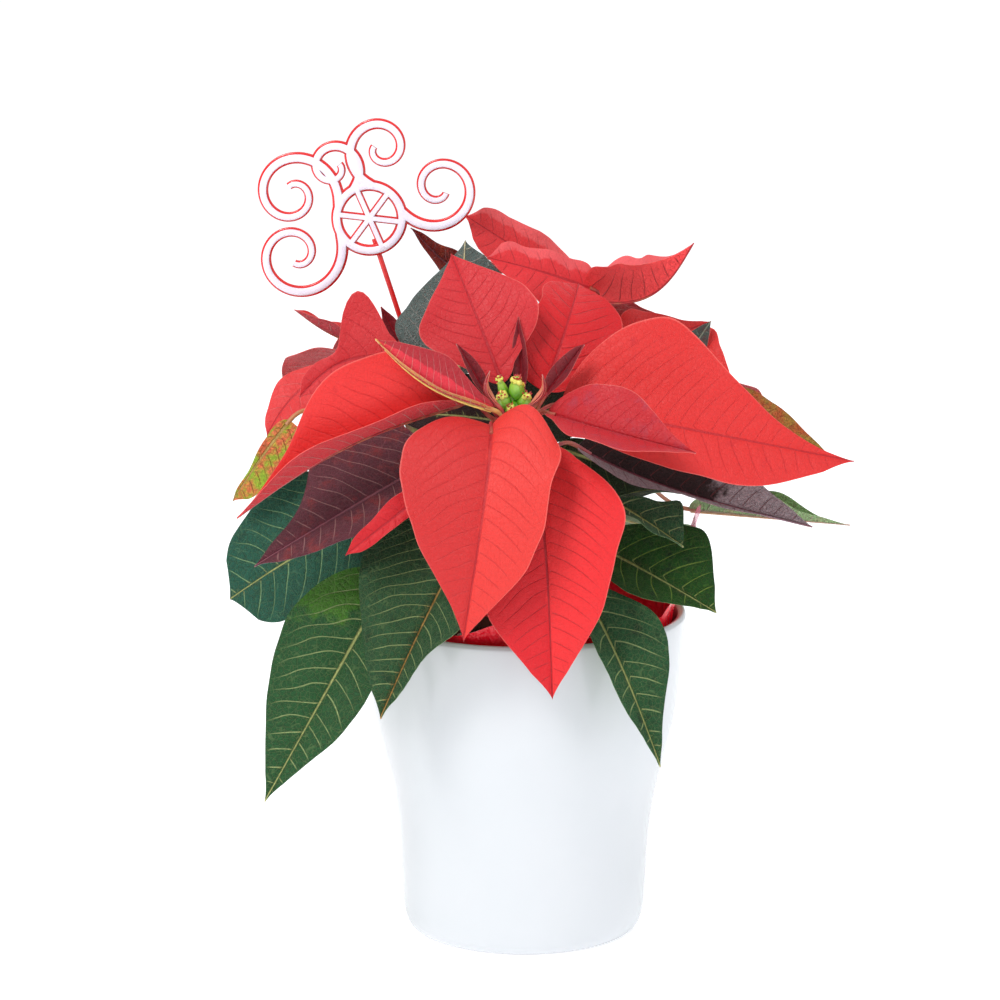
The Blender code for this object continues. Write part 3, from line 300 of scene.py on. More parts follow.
def section(b, half, share, t):
    """How far across the blade and out of it a point lies, at that share of the half width."""
    sign = np.sign(share)
    reach = abs(share)
    fold = radians(b.fold)
    curl = radians(b.curl)
    if abs(curl) < 1e-6:
        across = half * reach * cos(fold)
        out = half * reach * sin(fold)
    else:
        across = half * (sin(fold + curl * reach) - sin(fold)) / curl
        out = half * (cos(fold) - cos(fold + curl * reach)) / curl
    ripple = np.sin(2 * pi * RIPPLES * t + RIPPLE_SHIFT * sign) * reach**2 * envelope(t) / FULLEST
    return sign * across, out + b.wave * ripple


def reach_back(b, half, share, t):
    """How far back past the stalk the base's halves reach, at that share of the half width."""
    widest = max(b.left if share < 0 else b.right)
    lobe = np.sin(pi * np.clip(half * abs(share) / widest, 0, 1) ** 1.2)
    return b.heart[int(share > 0)] * lobe * np.clip(1 - t / LOBE_SHARE, 0, 1) ** 2


def bezier(a, b, c, d, count):
    """So many points of a curve from a to d, drawn towards b and c."""
    t = np.linspace(0, 1, count)[:, None]
    a, b, c, d = (np.asarray(v, float) for v in (a, b, c, d))
    return (1 - t) ** 3 * a + 3 * (1 - t) ** 2 * t * b + 3 * (1 - t) * t**2 * c + t**3 * d


def branch_point(name, share):
    """Point and direction at a share of a branch's length, 1 being under its bloom."""
    line = bezier(*BRANCHES[name], BRANCH_STEPS + 1)
    i = min(int(share * BRANCH_STEPS), BRANCH_STEPS - 1)
    return line[i], unit(line[i + 1] - line[i])


def branch_radius(share):
    return np.interp(share, np.linspace(0, 1, len(BRANCH_RADII)), BRANCH_RADII)


def petiole(b, count):
    """Line of the stalk from the branch, or from the disc under the bloom, to a little way along the rib."""
    if b.join >= 1:
        axis = unit(BLOOM_AXES[b.branch])
        away = b.base - bloom_centre(b.branch)
        way_out = unit(away - (away @ axis) * axis)
        start = bloom_centre(b.branch) + way_out * STALK_FOOT
    else:
        start, way_out = branch_point(b.branch, b.join)
    if b.kind in LOOSE_KINDS:
        away = b.base - start
        way_out = unit(away - (away @ way_out) * way_out)
        start = start + way_out * (branch_radius(b.join) + LOOSE_STALK_GAP)
    end = rib(b, np.array([0.0, STALK_SHARE]))
    along = unit(end[1] - end[0])
    reach = np.linalg.norm(end[0] - start)
    on_branch = start + way_out * reach * STALK_START
    before_rib = end[0] - along * reach * STALK_END
    curve = bezier(start, on_branch, before_rib, end[0], count)
    return np.concatenate([curve, end[1:]])


def bloom_centre(name):
    """Middle of the disc under a bloom."""
    line = bezier(*BRANCHES[name], BRANCH_STEPS + 1)
    return line[-1] + unit(BLOOM_AXES[name]) * BLOOM_RISE


# Pot: outside and inside from the floor up, 150 mm wide and high at the rim.
POT_OUTSIDE = (
    (49, 0), (53, 1.2), (55.5, 8), (56.7, 22), (58.2, 46), (61.2, 66), (66.2, 86), (70.4, 105), (73.4, 132),
    (74.6, 146),
)
POT_FLOOR = 5
POT_INSIDE = (
    (74.2, 149), (73, 150), (71.3, 149.2), (70.3, 146), (68.6, 124), (62.4, 84), (55.6, 55), (52.3, 14),
    (46.5, POT_FLOOR),
)

# Nursery pot and the soil in it.
NURSERY_FLOOR = 5.4
NURSERY_RIM = 131
NURSERY_WALL = 1.3
NURSERY_BASE = 1.6
NURSERY_FOOT_RADIUS = 45
NURSERY_SPREAD = 19
SOIL_GAP = 0.4
SOIL_TOP = 125
HOLE_RADIUS = 6.1
HOLE_DEPTH = 27.4

# Foil wrap between the two pots: a pleated sleeve whose free corners stand above the rim.
WRAP_PLEATS = 16
# Where each free corner points, how far it rises above the rim, and how wide it is, in degrees.
WRAP_CORNERS = ((-13, 52, 13), (22, 20, 12), (95, 22, 14), (150, 26, 14), (195, 16, 14), (-98, 7, 20))

# Pick: a stick in the soil that carries a scroll ornament, a red plate with a narrower white face on it.
STICK_FOOT = (2.5, 23, 97)
STICK_HEAD = (-69, 36.2, 316)
STICK_RADIUS = 1.2
PICK_CENTRE = (-71, 33.6, 326)
PICK_LEAN = 23.5
PLATE_THICKNESS = 1.6
FACE_THICKNESS = 1.0
FACE_GAP = 0.35
PLATE_STROKE = 5.8
FACE_STROKE = 3.6
RING_RADIUS = 15
# Each scroll: the angle where it leaves the ring, the middle it winds round, its turns and its inner radius.
SCROLLS = (
    (185, -38, -2, -1.35, 4), (135, -28, 24, 1.35, 4), (-12, 35, 0, 1.3, 4), (62, 18, 27, -1.25, 3.5),
    (95, -6, 28, 1.2, 3.5),
)


def nursery_radius(z):
    """Outside of the nursery pot."""
    return NURSERY_FOOT_RADIUS + (z - NURSERY_FLOOR) * NURSERY_SPREAD / (NURSERY_RIM - NURSERY_FLOOR)


def wrap_corner(angle):
    """How far the wrap's edge rises above the rim at that angle, in radians."""
    rise = 3.0 + 1.2 * sin(7 * angle)
    for at_degrees, height, width in WRAP_CORNERS:
        away = (np.degrees(angle) - at_degrees + 180) % 360 - 180
        rise += height * max(0.0, 1 - abs(away) / width) ** 1.15
    return rise


def scroll(ring_angle, x, y, turns, inner, count):
    """A scroll that leaves the ring at an angle, in degrees, and winds in round (x, y)."""
    foot = RING_RADIUS * np.array([cos(radians(ring_angle)), sin(radians(ring_angle))])
    away = foot - (x, y)
    outer = np.linalg.norm(away)
    share = np.linspace(0, 1, count)
    angle = np.arctan2(away[1], away[0]) + 2 * pi * turns * share
    reach = outer + (inner - outer) * share**0.8
    return np.stack([x + reach * np.cos(angle), y + reach * np.sin(angle)], -1)


def in_pick(points):
    """From the ornament's plane into the part: leaning, and facing the photograph's side."""
    c, s = cos(radians(PICK_LEAN)), sin(radians(PICK_LEAN))
    x = points[:, 0] * c - points[:, 1] * s
    z = points[:, 0] * s + points[:, 1] * c
    return np.stack([x, points[:, 2], z], -1) + np.array(PICK_CENTRE)


# Colours and relief

def rgb(red, green, blue):
    """Linear colour from display values of 0 to 255."""
    return tuple(((c / 255 + 0.055) / 1.055) ** 2.4 if c > 10 else c / 3294.6 for c in (red, green, blue))


def opaque(colour):
    """A shader's colour from display values."""
    return (*rgb(*colour), 1)


# How a blade looks. upper and second are its upper side's colours, under its underside's, veins and rib
# those of its lines, all as display values. spots says how far the second colour spreads in blotches, and
# mask where else it lies. quilt is how high the blade bulges between its side veins and spacing how far
# apart they are, in mm. pale says how pale the underside's veins are.
Look = namedtuple("Look", "upper second under veins rib spots quilt spacing mask pale", defaults=("", 0.5))
COLOURS = ("upper", "second", "under", "veins", "rib")
KIND_LOOKS = {
    "bract": Look((212, 36, 34), (192, 24, 32), (206, 44, 50), (186, 20, 32), (158, 18, 34),
                  0.22, 0.3, 7.0),
    "leaf": Look((30, 80, 44), (16, 56, 30), (140, 172, 122), (172, 192, 128), (184, 190, 120),
                 0.3, 0.5, 8.2),
    "dusk": Look((92, 37, 49), (124, 42, 46), (140, 116, 132), (206, 150, 146), (164, 100, 112),
                 0.36, 0.4, 7.5),
    "turning": Look((140, 160, 44), (204, 112, 52), (150, 150, 84), (196, 84, 60), (190, 160, 90),
                    0.5, 0.4, 6.5),
}
DARK_BRACT = dict(upper=(120, 20, 32), second=(96, 16, 28), under=(128, 34, 44), spots=0.3)
SMALL_BRACT = dict(upper=(150, 30, 44), second=(214, 130, 100), under=(196, 60, 66), mask="outer",
                   spots=0.0, quilt=0.1)
# How single blades differ from the others of their kind, some by painted shade and painted highlights.
LOOKS = dict(
    # b1: its left half painted lighter, its right half darker: painted light and painted shade.
    b1=dict(upper=(197, 32, 33), second=(218, 50, 44), mask="left", spots=0.0, veins=(190, 28, 34),
        rib=(160, 20, 34)),
    # b2: its left half painted lighter, its right half darker: painted light, and painted shade cast by b1.
    b2=dict(upper=(208, 8, 24), second=(226, 34, 38), mask="left", spots=0.0, veins=(140, 2, 20),
        rib=(112, 4, 22), spacing=6.2),
    b3=dict(veins=(196, 26, 34)),
    b5=dict(upper=(192, 30, 38), second=(180, 20, 32), veins=(166, 20, 34), spacing=6.0),
    b6=dict(upper=(208, 4, 18), second=(176, 2, 18), veins=(90, 0, 14), spacing=6.5),
    b7=dict(upper=(226, 46, 44), under=(220, 44, 54), veins=(196, 26, 34)),
    b4=dict(upper=(190, 24, 36), second=(172, 38, 56), spots=0.34),
    # b8: the darker second colour on its outer parts is painted shade.
    b8=dict(upper=(218, 42, 60), second=(170, 26, 40), under=(196, 44, 60), mask="outer", spots=0.0,
        veins=(240, 168, 164), rib=(240, 214, 110), quilt=0.5, spacing=4.2),
    b9=DARK_BRACT,
    b10=DARK_BRACT,
    b11=DARK_BRACT,
    b12=SMALL_BRACT,
    b13=SMALL_BRACT,
    # c1, c2: the paler second colour along the upper edge is a painted highlight.
    c1=dict(upper=(220, 44, 48), second=(228, 84, 86), mask="upper edge", veins=(146, 14, 30), quilt=0.5,
        spots=0.0),
    c2=dict(upper=(220, 42, 48), second=(230, 84, 88), mask="upper edge", veins=(146, 8, 24), quilt=0.5,
        spots=0.0),
    # c3: its underside's red is brighter than the bract's own: painted light on the half that faces down.
    c3=dict(upper=(226, 92, 96), under=(255, 74, 76), veins=(150, 8, 24), quilt=0.5, pale=0.0),
    c5=dict(upper=(206, 40, 46)),
    c6=dict(under=(196, 50, 62)),
    c7=DARK_BRACT,
    c8=dict(upper=(214, 50, 52), veins=(228, 120, 116), quilt=0.4),
    d2=dict(upper=(60, 72, 66), second=(90, 40, 46), under=(120, 130, 120), veins=(120, 140, 130),
        rib=(150, 160, 140), spots=0.3),
    e5=DARK_BRACT,
    c4=dict(upper=(146, 48, 38), second=(176, 78, 44), under=(120, 60, 50)),
    # m2: near-black upper is its dark maroon deepened by painted shade; pale right half and tip, painted
    # sheen.
    m2=dict(upper=(44, 28, 28), second=(164, 146, 150), mask="right and tip", veins=(120, 44, 42),
        spots=0.1),
    m3=dict(upper=(60, 84, 62), under=(92, 108, 104), veins=(158, 172, 166), quilt=0.6, spots=0.0,
        spacing=6.0),
    o1=dict(upper=(146, 178, 48), second=(222, 112, 72), spots=0.58, veins=(160, 60, 44), spacing=5.0),
    o2=dict(upper=(150, 116, 44), second=(176, 84, 40), spots=0.52),
    r1=dict(upper=(200, 14, 28), second=(180, 10, 24)),
    g1=dict(upper=(30, 88, 70), second=(20, 66, 52), veins=(140, 180, 130)),
    g2=dict(upper=(32, 84, 44), second=(74, 130, 40), mask="corner", spots=0.0),
    g3=dict(upper=(34, 78, 44), rib=(190, 150, 84), quilt=0.6, spacing=6.5),
    g5=dict(upper=(20, 72, 14), second=(16, 44, 20), veins=(130, 160, 70)),
    g22=dict(upper=(44, 22, 22), second=(96, 14, 24), veins=(70, 30, 30)),
    g23=dict(upper=(34, 50, 26), second=(50, 20, 20), veins=(80, 90, 50)),
    g24=dict(upper=(40, 60, 30), second=(60, 22, 24), veins=(90, 110, 60)),
    g7=dict(upper=(130, 172, 104), under=(160, 196, 136), rib=(214, 170, 140), veins=(190, 200, 150)),
)


def look_of(b):
    """The blade's look, its colours linear."""
    look = KIND_LOOKS[b.kind]._replace(**LOOKS.get(b.name, {}))
    return look._replace(**{field: rgb(*getattr(look, field)) for field in COLOURS})


def smoothstep(low, high, value):
    """0 up to low and 1 from high on, eased between them."""
    x = np.clip((value - low) / (high - low), 0, 1)
    return x * x * (3 - 2 * x)


def second_mask(look, t, share):
    """How much of the second colour lies at each point, before the shader breaks it up."""
    # 'left' and 'upper edge' lay painted shade and highlights; 'right and tip' lays a painted sheen.
    where = {
        "": 0 * t,
        "left": smoothstep(0.1, -0.1, share),
        "corner": smoothstep(0.5, 0.1, t) * smoothstep(-0.2, 0.5, share),
        "right and tip": np.maximum(smoothstep(-0.05, 0.1, share), smoothstep(0.45, 0.8, t)),
        "upper edge": smoothstep(0.2, 0.9, share),
        "outer": smoothstep(0.36, 0.56, abs(share)),
    }[look.mask]
    return np.maximum(where, look.spots)


# One part of a piece: points in mm, faces, each face's material, and what the shader reads at each point.
# place holds the way along and across in mm and the side veins' phase; site holds t, the share and the mask.
Patch = namedtuple("Patch", "points faces slots place site main second veins")
GREY = (0.5, 0.5, 0.5)


def plain_patch(points, faces, slot, tint=GREY):
    """A patch that no vein runs over."""
    empty = np.zeros((len(points), 3))
    colour = np.tile(tint, (len(points), 1))
    return Patch(np.asarray(points, float), [list(f) for f in faces], [slot] * len(faces), empty, empty,
                 colour, colour, colour)


# Side veins leave the rib at a slant, bend towards the tip and wander a little, over these lengths in mm.
VEIN_LEAN = 0.35
VEIN_BEND = 0.5
VEIN_WANDER = 0.07
WANDER_LENGTHS = (31, 17)
# How much a blade's edge wavers, and how often over its length.
EDGE_NOISE = 0.006
EDGE_WAVES = (2.3, 3.7, 6.1)
# The groove over the rib, and the long low waves of the whole blade.
GROOVE_DEPTH = 0.45
GROOVE_WIDTH = 1.1
SWAY_HEIGHT = 0.22
SWAY_LENGTHS = (22, 46)
SWAY_COUNT = 4
FULL_SWAY_WIDTH = 22
# Size of a blade's cells, and how many it has at the least and the most.
CELL_ALONG = 1.05
CELL_ACROSS = 1.7
ROW_LIMITS = (14, 100)
COLUMN_LIMITS = (4, 20)
SHEET_THICKNESS = 0.5
EDGE_THICKNESS = 0.4
RIB_RADIUS = 0.65
RIB_SINK = 0.4
# How much one blade is lighter or darker than the next.
TONE_SPREAD = 0.06
PALE_VEIN = rgb(226, 206, 196)
STALK_RED = rgb(172, 52, 58)


def blade_relief(b, look, along, across, share, phase, draw):
    """How far the blade bulges out of its upper side, in mm."""
    away = abs(across)
    between = 0.5 - 0.5 * np.cos(2 * pi * phase)
    quilt = look.quilt * between * smoothstep(0.5, 5, away) * (1 - 0.75 * abs(share) ** 3)
    groove = -GROOVE_DEPTH * np.exp(-((across / GROOVE_WIDTH) ** 2))
    sway = 0
    for _ in range(SWAY_COUNT):
        turn = draw.uniform(0, 2 * pi)
        length = draw.uniform(*SWAY_LENGTHS)
        shift = draw.uniform(0, 2 * pi)
        way = along * cos(turn) + across * sin(turn)
        sway = sway + SWAY_HEIGHT * np.sin(2 * pi * way / length + shift)
    return quilt + groove + sway * smoothstep(1, 14, away) * min(1.0, max(b.left + b.right) / FULL_SWAY_WIDTH)


def blade_grid(b, t, shares, draw):
    """Points over the blade before its relief, how far across it each lies, and the way out along the rib."""
    point, _, side, normal = rib_frame(b, t)
    backward = unit(b.base - b.tip)
    edge = [1 + EDGE_NOISE * sum(np.sin(2 * pi * f * t + draw.uniform(0, 6)) for f in EDGE_WAVES)
            for _ in range(2)]
    grid = np.zeros((len(t), len(shares), 3))
    across = np.zeros((len(t), len(shares)))
    for j, share in enumerate(shares):
        half = half_width(t, b.left if share < 0 else b.right)
        x, z = section(b, half, share, t)
        stretched = x * (1 + (edge[int(share > 0)] - 1) * abs(share))
        back = reach_back(b, half, share, t)
        grid[:, j] = point + side * stretched[:, None] + normal * z[:, None] + backward * back[:, None]
        across[:, j] = half * share
    return grid, across, normal


def vein_phase(b, look, along, across, draw):
    """How many side veins lie before each point, a whole number being on one."""
    away = abs(across)
    bend = VEIN_BEND / max(max(b.left), max(b.right))
    phase = (along - VEIN_LEAN * away - bend * away**2) / look.spacing + 0.5 * (across < 0)
    for length in WANDER_LENGTHS:
        phase = phase + VEIN_WANDER * np.sin(2 * pi * along / length + 0.08 * across + draw.uniform(0, 6))
    return phase


def two_sides(grid, out, thickness):
    """Points of a sheet's upper side and of its underside."""
    return np.concatenate([(grid + way * out * thickness / 2).reshape(-1, 3) for way in (1, -1)])


def strips(index, after):
    """Quads between each row of points and the row after it."""
    return np.stack([index[:, :-1], after[:, :-1], after[:, 1:], index[:, 1:]], -1).reshape(-1, 4)


def sheet_faces(points, shape, way_out):
    """Faces of a closed sheet, and how many its upper side, its underside and its rim have."""
    under = shape[0] * shape[1]
    index = np.arange(under).reshape(shape)
    quads = strips(index[:-1], index[1:])
    loop = np.concatenate([index[:, 0], index[-1, 1:], index[-2::-1, -1], index[0, -2:0:-1]])
    after = np.roll(loop, -1)
    rim = np.stack([loop, loop + under, after + under, after], -1)
    faces = np.concatenate([quads, quads[:, ::-1] + under, rim])
    corner, along, _, across = points[quads[0]]
    if np.cross(along - corner, across - corner) @ way_out < 0:
        faces = faces[:, ::-1]
    return faces.tolist(), (len(quads), len(quads), len(rim))


def blade_colours(look, across, draw):
    """Main, second and vein colours at each point of both sides."""
    near_rib = smoothstep(3.0, 0.8, abs(across)).reshape(-1, 1)
    line = near_rib * look.rib + (1 - near_rib) * np.array(look.veins)
    tone = 1 + draw.uniform(-TONE_SPREAD, TONE_SPREAD)
    pale = 0.55 * np.array(look.under) + 0.45 * np.array(look.rib)
    main = np.repeat([look.upper, look.under], len(line), 0) * tone
    second = np.repeat([look.second, pale], len(line), 0)
    return main, second, np.concatenate([line, (1 - look.pale) * line + look.pale * np.array(PALE_VEIN)])


def fine_blade(b):
    """The blade as a thin closed sheet, with its side veins' relief."""
    look = look_of(b)
    draw = random.Random(b.name)
    length = float(np.linalg.norm(b.tip - b.base))
    rows = int(np.clip(length / CELL_ALONG, *ROW_LIMITS))
    columns = 2 * int(np.clip((max(b.left) + max(b.right)) / CELL_ACROSS / 2, *COLUMN_LIMITS))
    level = np.arange(rows + 1) / rows
    t = 0.002 + 0.996 * (level - 0.11 * np.sin(2 * pi * level))
    shares = np.linspace(-1, 1, columns + 1)
    grid, across, normal = blade_grid(b, t, shares, draw)
    t_grid, share_grid = np.meshgrid(t, shares, indexing="ij")
    along = t_grid * length
    phase = vein_phase(b, look, along, across, draw)
    out = unit(np.cross(np.gradient(grid, axis=0), np.gradient(grid, axis=1)))
    if np.sum(out * normal[:, None, :]) < 0:
        out = -out
    grid = grid + out * blade_relief(b, look, along, across, share_grid, phase, draw)[..., None]
    inside = smoothstep(0, 0.12, 1 - abs(share_grid))[..., None]
    points = two_sides(grid, out, SHEET_THICKNESS * (EDGE_THICKNESS + (1 - EDGE_THICKNESS) * inside))
    faces, counts = sheet_faces(points, across.shape, out[0, 0])
    skins = (b.kind + "_upper", b.kind + "_under", b.kind + "_upper")
    slots = [skin for skin, count in zip(skins, counts) for _ in range(count)]
    place = np.stack([along, across, phase], -1).reshape(-1, 3)
    site = np.stack([t_grid, share_grid, second_mask(look, t_grid, share_grid)], -1).reshape(-1, 3)
    both = (2, 1)
    return Patch(points, faces, slots, np.tile(place, both), np.tile(site, both),
                 *blade_colours(look, across, draw))


def ring_quads(rings, sides):
    """Quads between rings of points that follow each other."""
    quads = []
    for i in range(rings - 1):
        for j in range(sides):
            k = (j + 1) % sides
            quads.append((i * sides + j, i * sides + k, (i + 1) * sides + k, (i + 1) * sides + j))
    return quads


def end_fans(rings, sides):
    """Triangles that close the first and the last ring, round the two points that follow all rings."""
    first = rings * sides
    fans = []
    for j in range(sides):
        k = (j + 1) % sides
        fans.append((first, k, j))
        fans.append((first + 1, first - sides + j, first - sides + k))
    return fans


def tube_mesh(line, radii, sides):
    """Points and faces of a closed tube along a line."""
    line = np.asarray(line, float)
    count = len(line)
    radii = np.interp(np.linspace(0, 1, count), np.linspace(0, 1, len(radii)), radii)
    along = unit(np.gradient(line, axis=0))
    side = unit(np.cross(along[0], (0.31, 0.95, 0.07) if abs(along[0][1]) < 0.9 else (1, 0, 0)))
    angles = 2 * pi * np.arange(sides) / sides
    rings = []
    for point, direction, radius in zip(line, along, radii):
        side = unit(side - (side @ direction) * direction)
        other = np.cross(direction, side)
        rings.append(point + radius * (np.cos(angles)[:, None] * side + np.sin(angles)[:, None] * other))
    faces = ring_quads(count, sides)
    faces.append(tuple(range(sides - 1, -1, -1)))
    faces.append(tuple((count - 1) * sides + j for j in range(sides)))
    return np.concatenate(rings), faces


def egg_mesh(centre, axis, radius, length, sides, rings, blunt=0.9):
    """Points and faces of a closed egg along an axis."""
    centre = np.asarray(centre, float)
    axis = unit(axis)
    side = unit(np.cross(axis, (0.3, 0.2, 1) if abs(axis[2]) < 0.9 else (1, 0.2, 0)))
    other = np.cross(axis, side)
    angles = 2 * pi * np.arange(sides) / sides
    around = np.cos(angles)[:, None] * side + np.sin(angles)[:, None] * other
    share = 0.5 - 0.5 * np.cos(pi * np.linspace(0, 1, rings + 2)[1:-1])
    points = [centre + axis * length * (s - 0.5) + radius * sin(pi * s**blunt) * around for s in share]
    ends = [centre - axis * length * 0.5, centre + axis * length * 0.5]
    return np.concatenate(points + [ends]), ring_quads(rings, sides) + end_fans(rings, sides)


def egg(kind, *shape):
    """A patch of one egg."""
    return plain_patch(*egg_mesh(*shape), kind)


def stalk(b):
    """The blade's stalk, redder than its rib."""
    points, faces = tube_mesh(petiole(b, 22), (STALK_RADII[0], 0.95, 0.9, STALK_RADII[1]), 10)
    return plain_patch(points, faces, "stalk", 0.5 * np.array(look_of(b).rib) + 0.5 * np.array(STALK_RED))


def raised_rib(b):
    """The rib that stands out of the blade's underside."""
    t = np.linspace(0.01, 0.9, 30)
    point, _, _, normal = rib_frame(b, t)
    radii = np.interp(t, (0, 1), (RIB_RADIUS, 0.1))
    points, faces = tube_mesh(point - normal * (RIB_SINK + radii)[:, None], radii, 8)
    return plain_patch(points, faces, "stalk", look_of(b).rib)


# Materials. Each one's finish puts it into this table under its name.
MATERIALS = {}


class Shading:
    """A material's node tree."""

    def __init__(self, name):
        self.name = name
        self.material = bpy.data.materials.new(name)
        self.material.use_nodes = True
        self.tree = self.material.node_tree
        self.shader = self.tree.nodes["Principled BSDF"]

    def feed(self, socket, value):
        if isinstance(value, bpy.types.NodeSocket):
            self.tree.links.new(value, socket)
        else:
            socket.default_value = value

    def node(self, kind, inputs, **settings):
        made = self.tree.nodes.new("ShaderNode" + kind)
        for key, value in settings.items():
            setattr(made, key, value)
        for key, value in inputs.items():
            self.feed(made.inputs[key], value)
        return made

    def math(self, operation, *values):
        return self.node("Math", dict(enumerate(values)), operation=operation).outputs[0]

    def step(self, value, low, high, start=0.0, end=1.0):
        inputs = {"Value": value, "From Min": low, "From Max": high, "To Min": start, "To Max": end}
        return self.node("MapRange", inputs, interpolation_type="SMOOTHSTEP").outputs["Result"]

    def mix(self, factor, a, b):
        return self.node("Mix", {0: factor, 6: a, 7: b}, data_type="RGBA").outputs[2]

    def attribute(self, name, output):
        return self.node("Attribute", {}, attribute_name=name).outputs[output]

    def split(self, vector):
        made = self.node("SeparateXYZ", {0: vector})
        return made.outputs[0], made.outputs[1], made.outputs[2]

    def noise(self, scale, detail=3.0, rough=0.5):
        here = self.node("TexCoord", {}).outputs["Object"]
        inputs = {"Vector": here, "Scale": scale, "Detail": detail, "Roughness": rough}
        return self.node("TexNoise", inputs).outputs["Fac"]

    def bump(self, height, strength, distance):
        inputs = {"Height": height, "Strength": strength, "Distance": distance}
        return self.node("Bump", inputs).outputs["Normal"]

    def finish(self, **sockets):
        for key, value in sockets.items():
            self.feed(self.shader.inputs[key.replace("_", " ")], value)
        MATERIALS[self.name] = self.material
        return self.material


# Skin of a blade's side: how strongly its lines and its net show, how speckled and rough it is, its relief
# in m, how much light goes through, its sheen and gloss, whether its veins are raised, and whether a
# painted highlight runs along its rim.
SKIN_FIELDS = "lines net speckle roughness relief glow sheen gloss raised pale_edge"
Skin = namedtuple("Skin", SKIN_FIELDS, defaults=(False,))
SKINS = {
    "bract_upper": Skin(0.4, 0.03, 0.05, 0.5, 0.00016, 0.1, 0.05, 0.4, False, True),
    "bract_under": Skin(0.5, 0.12, 0.07, 0.55, 0.0005, 0.1, 0.05, 0.35, True, True),
    "leaf_upper": Skin(0.9, 0.14, 0.3, 0.48, 0.0009, 0.05, 0.02, 0.25, False),
    "leaf_under": Skin(0.8, 0.2, 0.14, 0.62, 0.0009, 0.05, 0.03, 0.3, True),
    "dusk_upper": Skin(0.5, 0.08, 0.25, 0.5, 0.0006, 0.05, 0.02, 0.25, False),
    "dusk_under": Skin(0.6, 0.2, 0.12, 0.6, 0.0006, 0.05, 0.03, 0.3, True),
    "turning_upper": Skin(0.7, 0.14, 0.25, 0.5, 0.0006, 0.06, 0.02, 0.25, False),
    "turning_under": Skin(0.6, 0.2, 0.14, 0.6, 0.0006, 0.06, 0.03, 0.3, True),
}
# A pale pinkish line along the bracts' rims: a painted highlight where their edges catch the light.
RIM_HIGHLIGHT = (240, 130, 120)
# Where a side vein's line fades out and where it is full, in shares of the space between two.
LINE_EDGES = (0.062, 0.012)
# Half the rib's line, in mm, at its foot and at its tip.
RIB_BREADTHS = (1.15, 0.4)
# The net's two meshes: how close they are, how broad their threads, and how high they stand.
NETS = ((0.42, 0.10, 0.55), (1.3, 0.14, 0.3))


def skin_nets(s, along, across):
    """The coarse and the fine net between the side veins."""
    flat = s.node("CombineXYZ", {0: along, 1: across, 2: 0.0}).outputs[0]
    found = []
    for scale, breadth, _ in NETS:
        cells = s.node("TexVoronoi", {"Vector": flat, "Scale": scale}, feature="DISTANCE_TO_EDGE")
        found.append(s.step(cells.outputs["Distance"], breadth, 0.0))
    return found


def skin_colour(s, skin, mask, reach, lines):
    """Two colours in blotches, speckled, with the lines and the painted rim highlight over them."""
    # The second colour's blotches, which on some blades are painted shade and painted highlights.
    spread = s.math("MULTIPLY_ADD", s.math("SUBTRACT", s.noise(120.0, 4.0, 0.6), 0.5), 1.5, mask)
    colour = s.mix(s.step(spread, 0.36, 0.66), s.attribute("main", "Color"), s.attribute("second", "Color"))
    speckle = s.step(s.noise(1000.0, 3.0, 0.7), 0.3, 0.7, 1 - skin.speckle, 1 + skin.speckle)
    colour = s.node("VectorMath", {"Vector": colour, "Scale": speckle}, operation="SCALE").outputs["Vector"]
    veins = s.attribute("veins", "Color")
    strengths = (skin.net, skin.net * 0.5, skin.lines, min(1.0, skin.lines * 1.5))
    for line, strength in zip(lines, strengths):
        colour = s.mix(s.math("MULTIPLY", line, strength), colour, veins)
    # Painted highlight along the bracts' rims.
    if skin.pale_edge:
        colour = s.mix(s.step(reach, 0.975, 0.998, 0.0, 0.4), colour, opaque(RIM_HIGHLIGHT))
    return colour


def leaf_material(name, skin):
    """Skin of a leaf or bract, with its rib, its side veins and the net between them."""
    s = Shading(name)
    along, across, phase = s.split(s.attribute("place", "Vector"))
    t, share, mask = s.split(s.attribute("site", "Vector"))
    away = s.math("ABSOLUTE", across)
    reach = s.math("ABSOLUTE", share)
    shifted = s.math("ADD", s.math("MULTIPLY_ADD", s.noise(90.0, 2.0), 0.12, phase), 0.42)
    off = s.math("ABSOLUTE", s.math("SUBTRACT", s.math("FRACT", shifted), 0.5))
    fade = s.math("MULTIPLY", s.step(reach, 1.0, 0.55), s.step(away, 0.0, 2.0))
    side = s.math("MULTIPLY", s.step(off, *LINE_EDGES), fade)
    rib_line = s.step(s.math("DIVIDE", away, s.step(t, 0.0, 1.0, *RIB_BREADTHS)), 1.0, 0.35)
    nets = skin_nets(s, along, across)
    way = 1.0 if skin.raised else -1.0
    height = s.math("MULTIPLY", s.math("MAXIMUM", side, rib_line), 1.2 * way)
    for net, (_, _, rise) in zip(nets, NETS):
        height = s.math("MULTIPLY_ADD", net, rise * way, height)
    height = s.math("MULTIPLY_ADD", s.noise(1400.0, 2.0), 0.35, height)
    rough = s.math("MULTIPLY_ADD", s.noise(300.0, 2.0), 0.16, skin.roughness - 0.08)
    s.finish(Base_Color=skin_colour(s, skin, mask, reach, (*nets, side, rib_line)), Roughness=rough,
             Normal=s.bump(height, 1.0, skin.relief), Subsurface_Weight=skin.glow,
             Subsurface_Radius=(0.003, 0.0012, 0.0008), Sheen_Weight=skin.sheen, Sheen_Roughness=0.4,
             Specular_IOR_Level=skin.gloss)


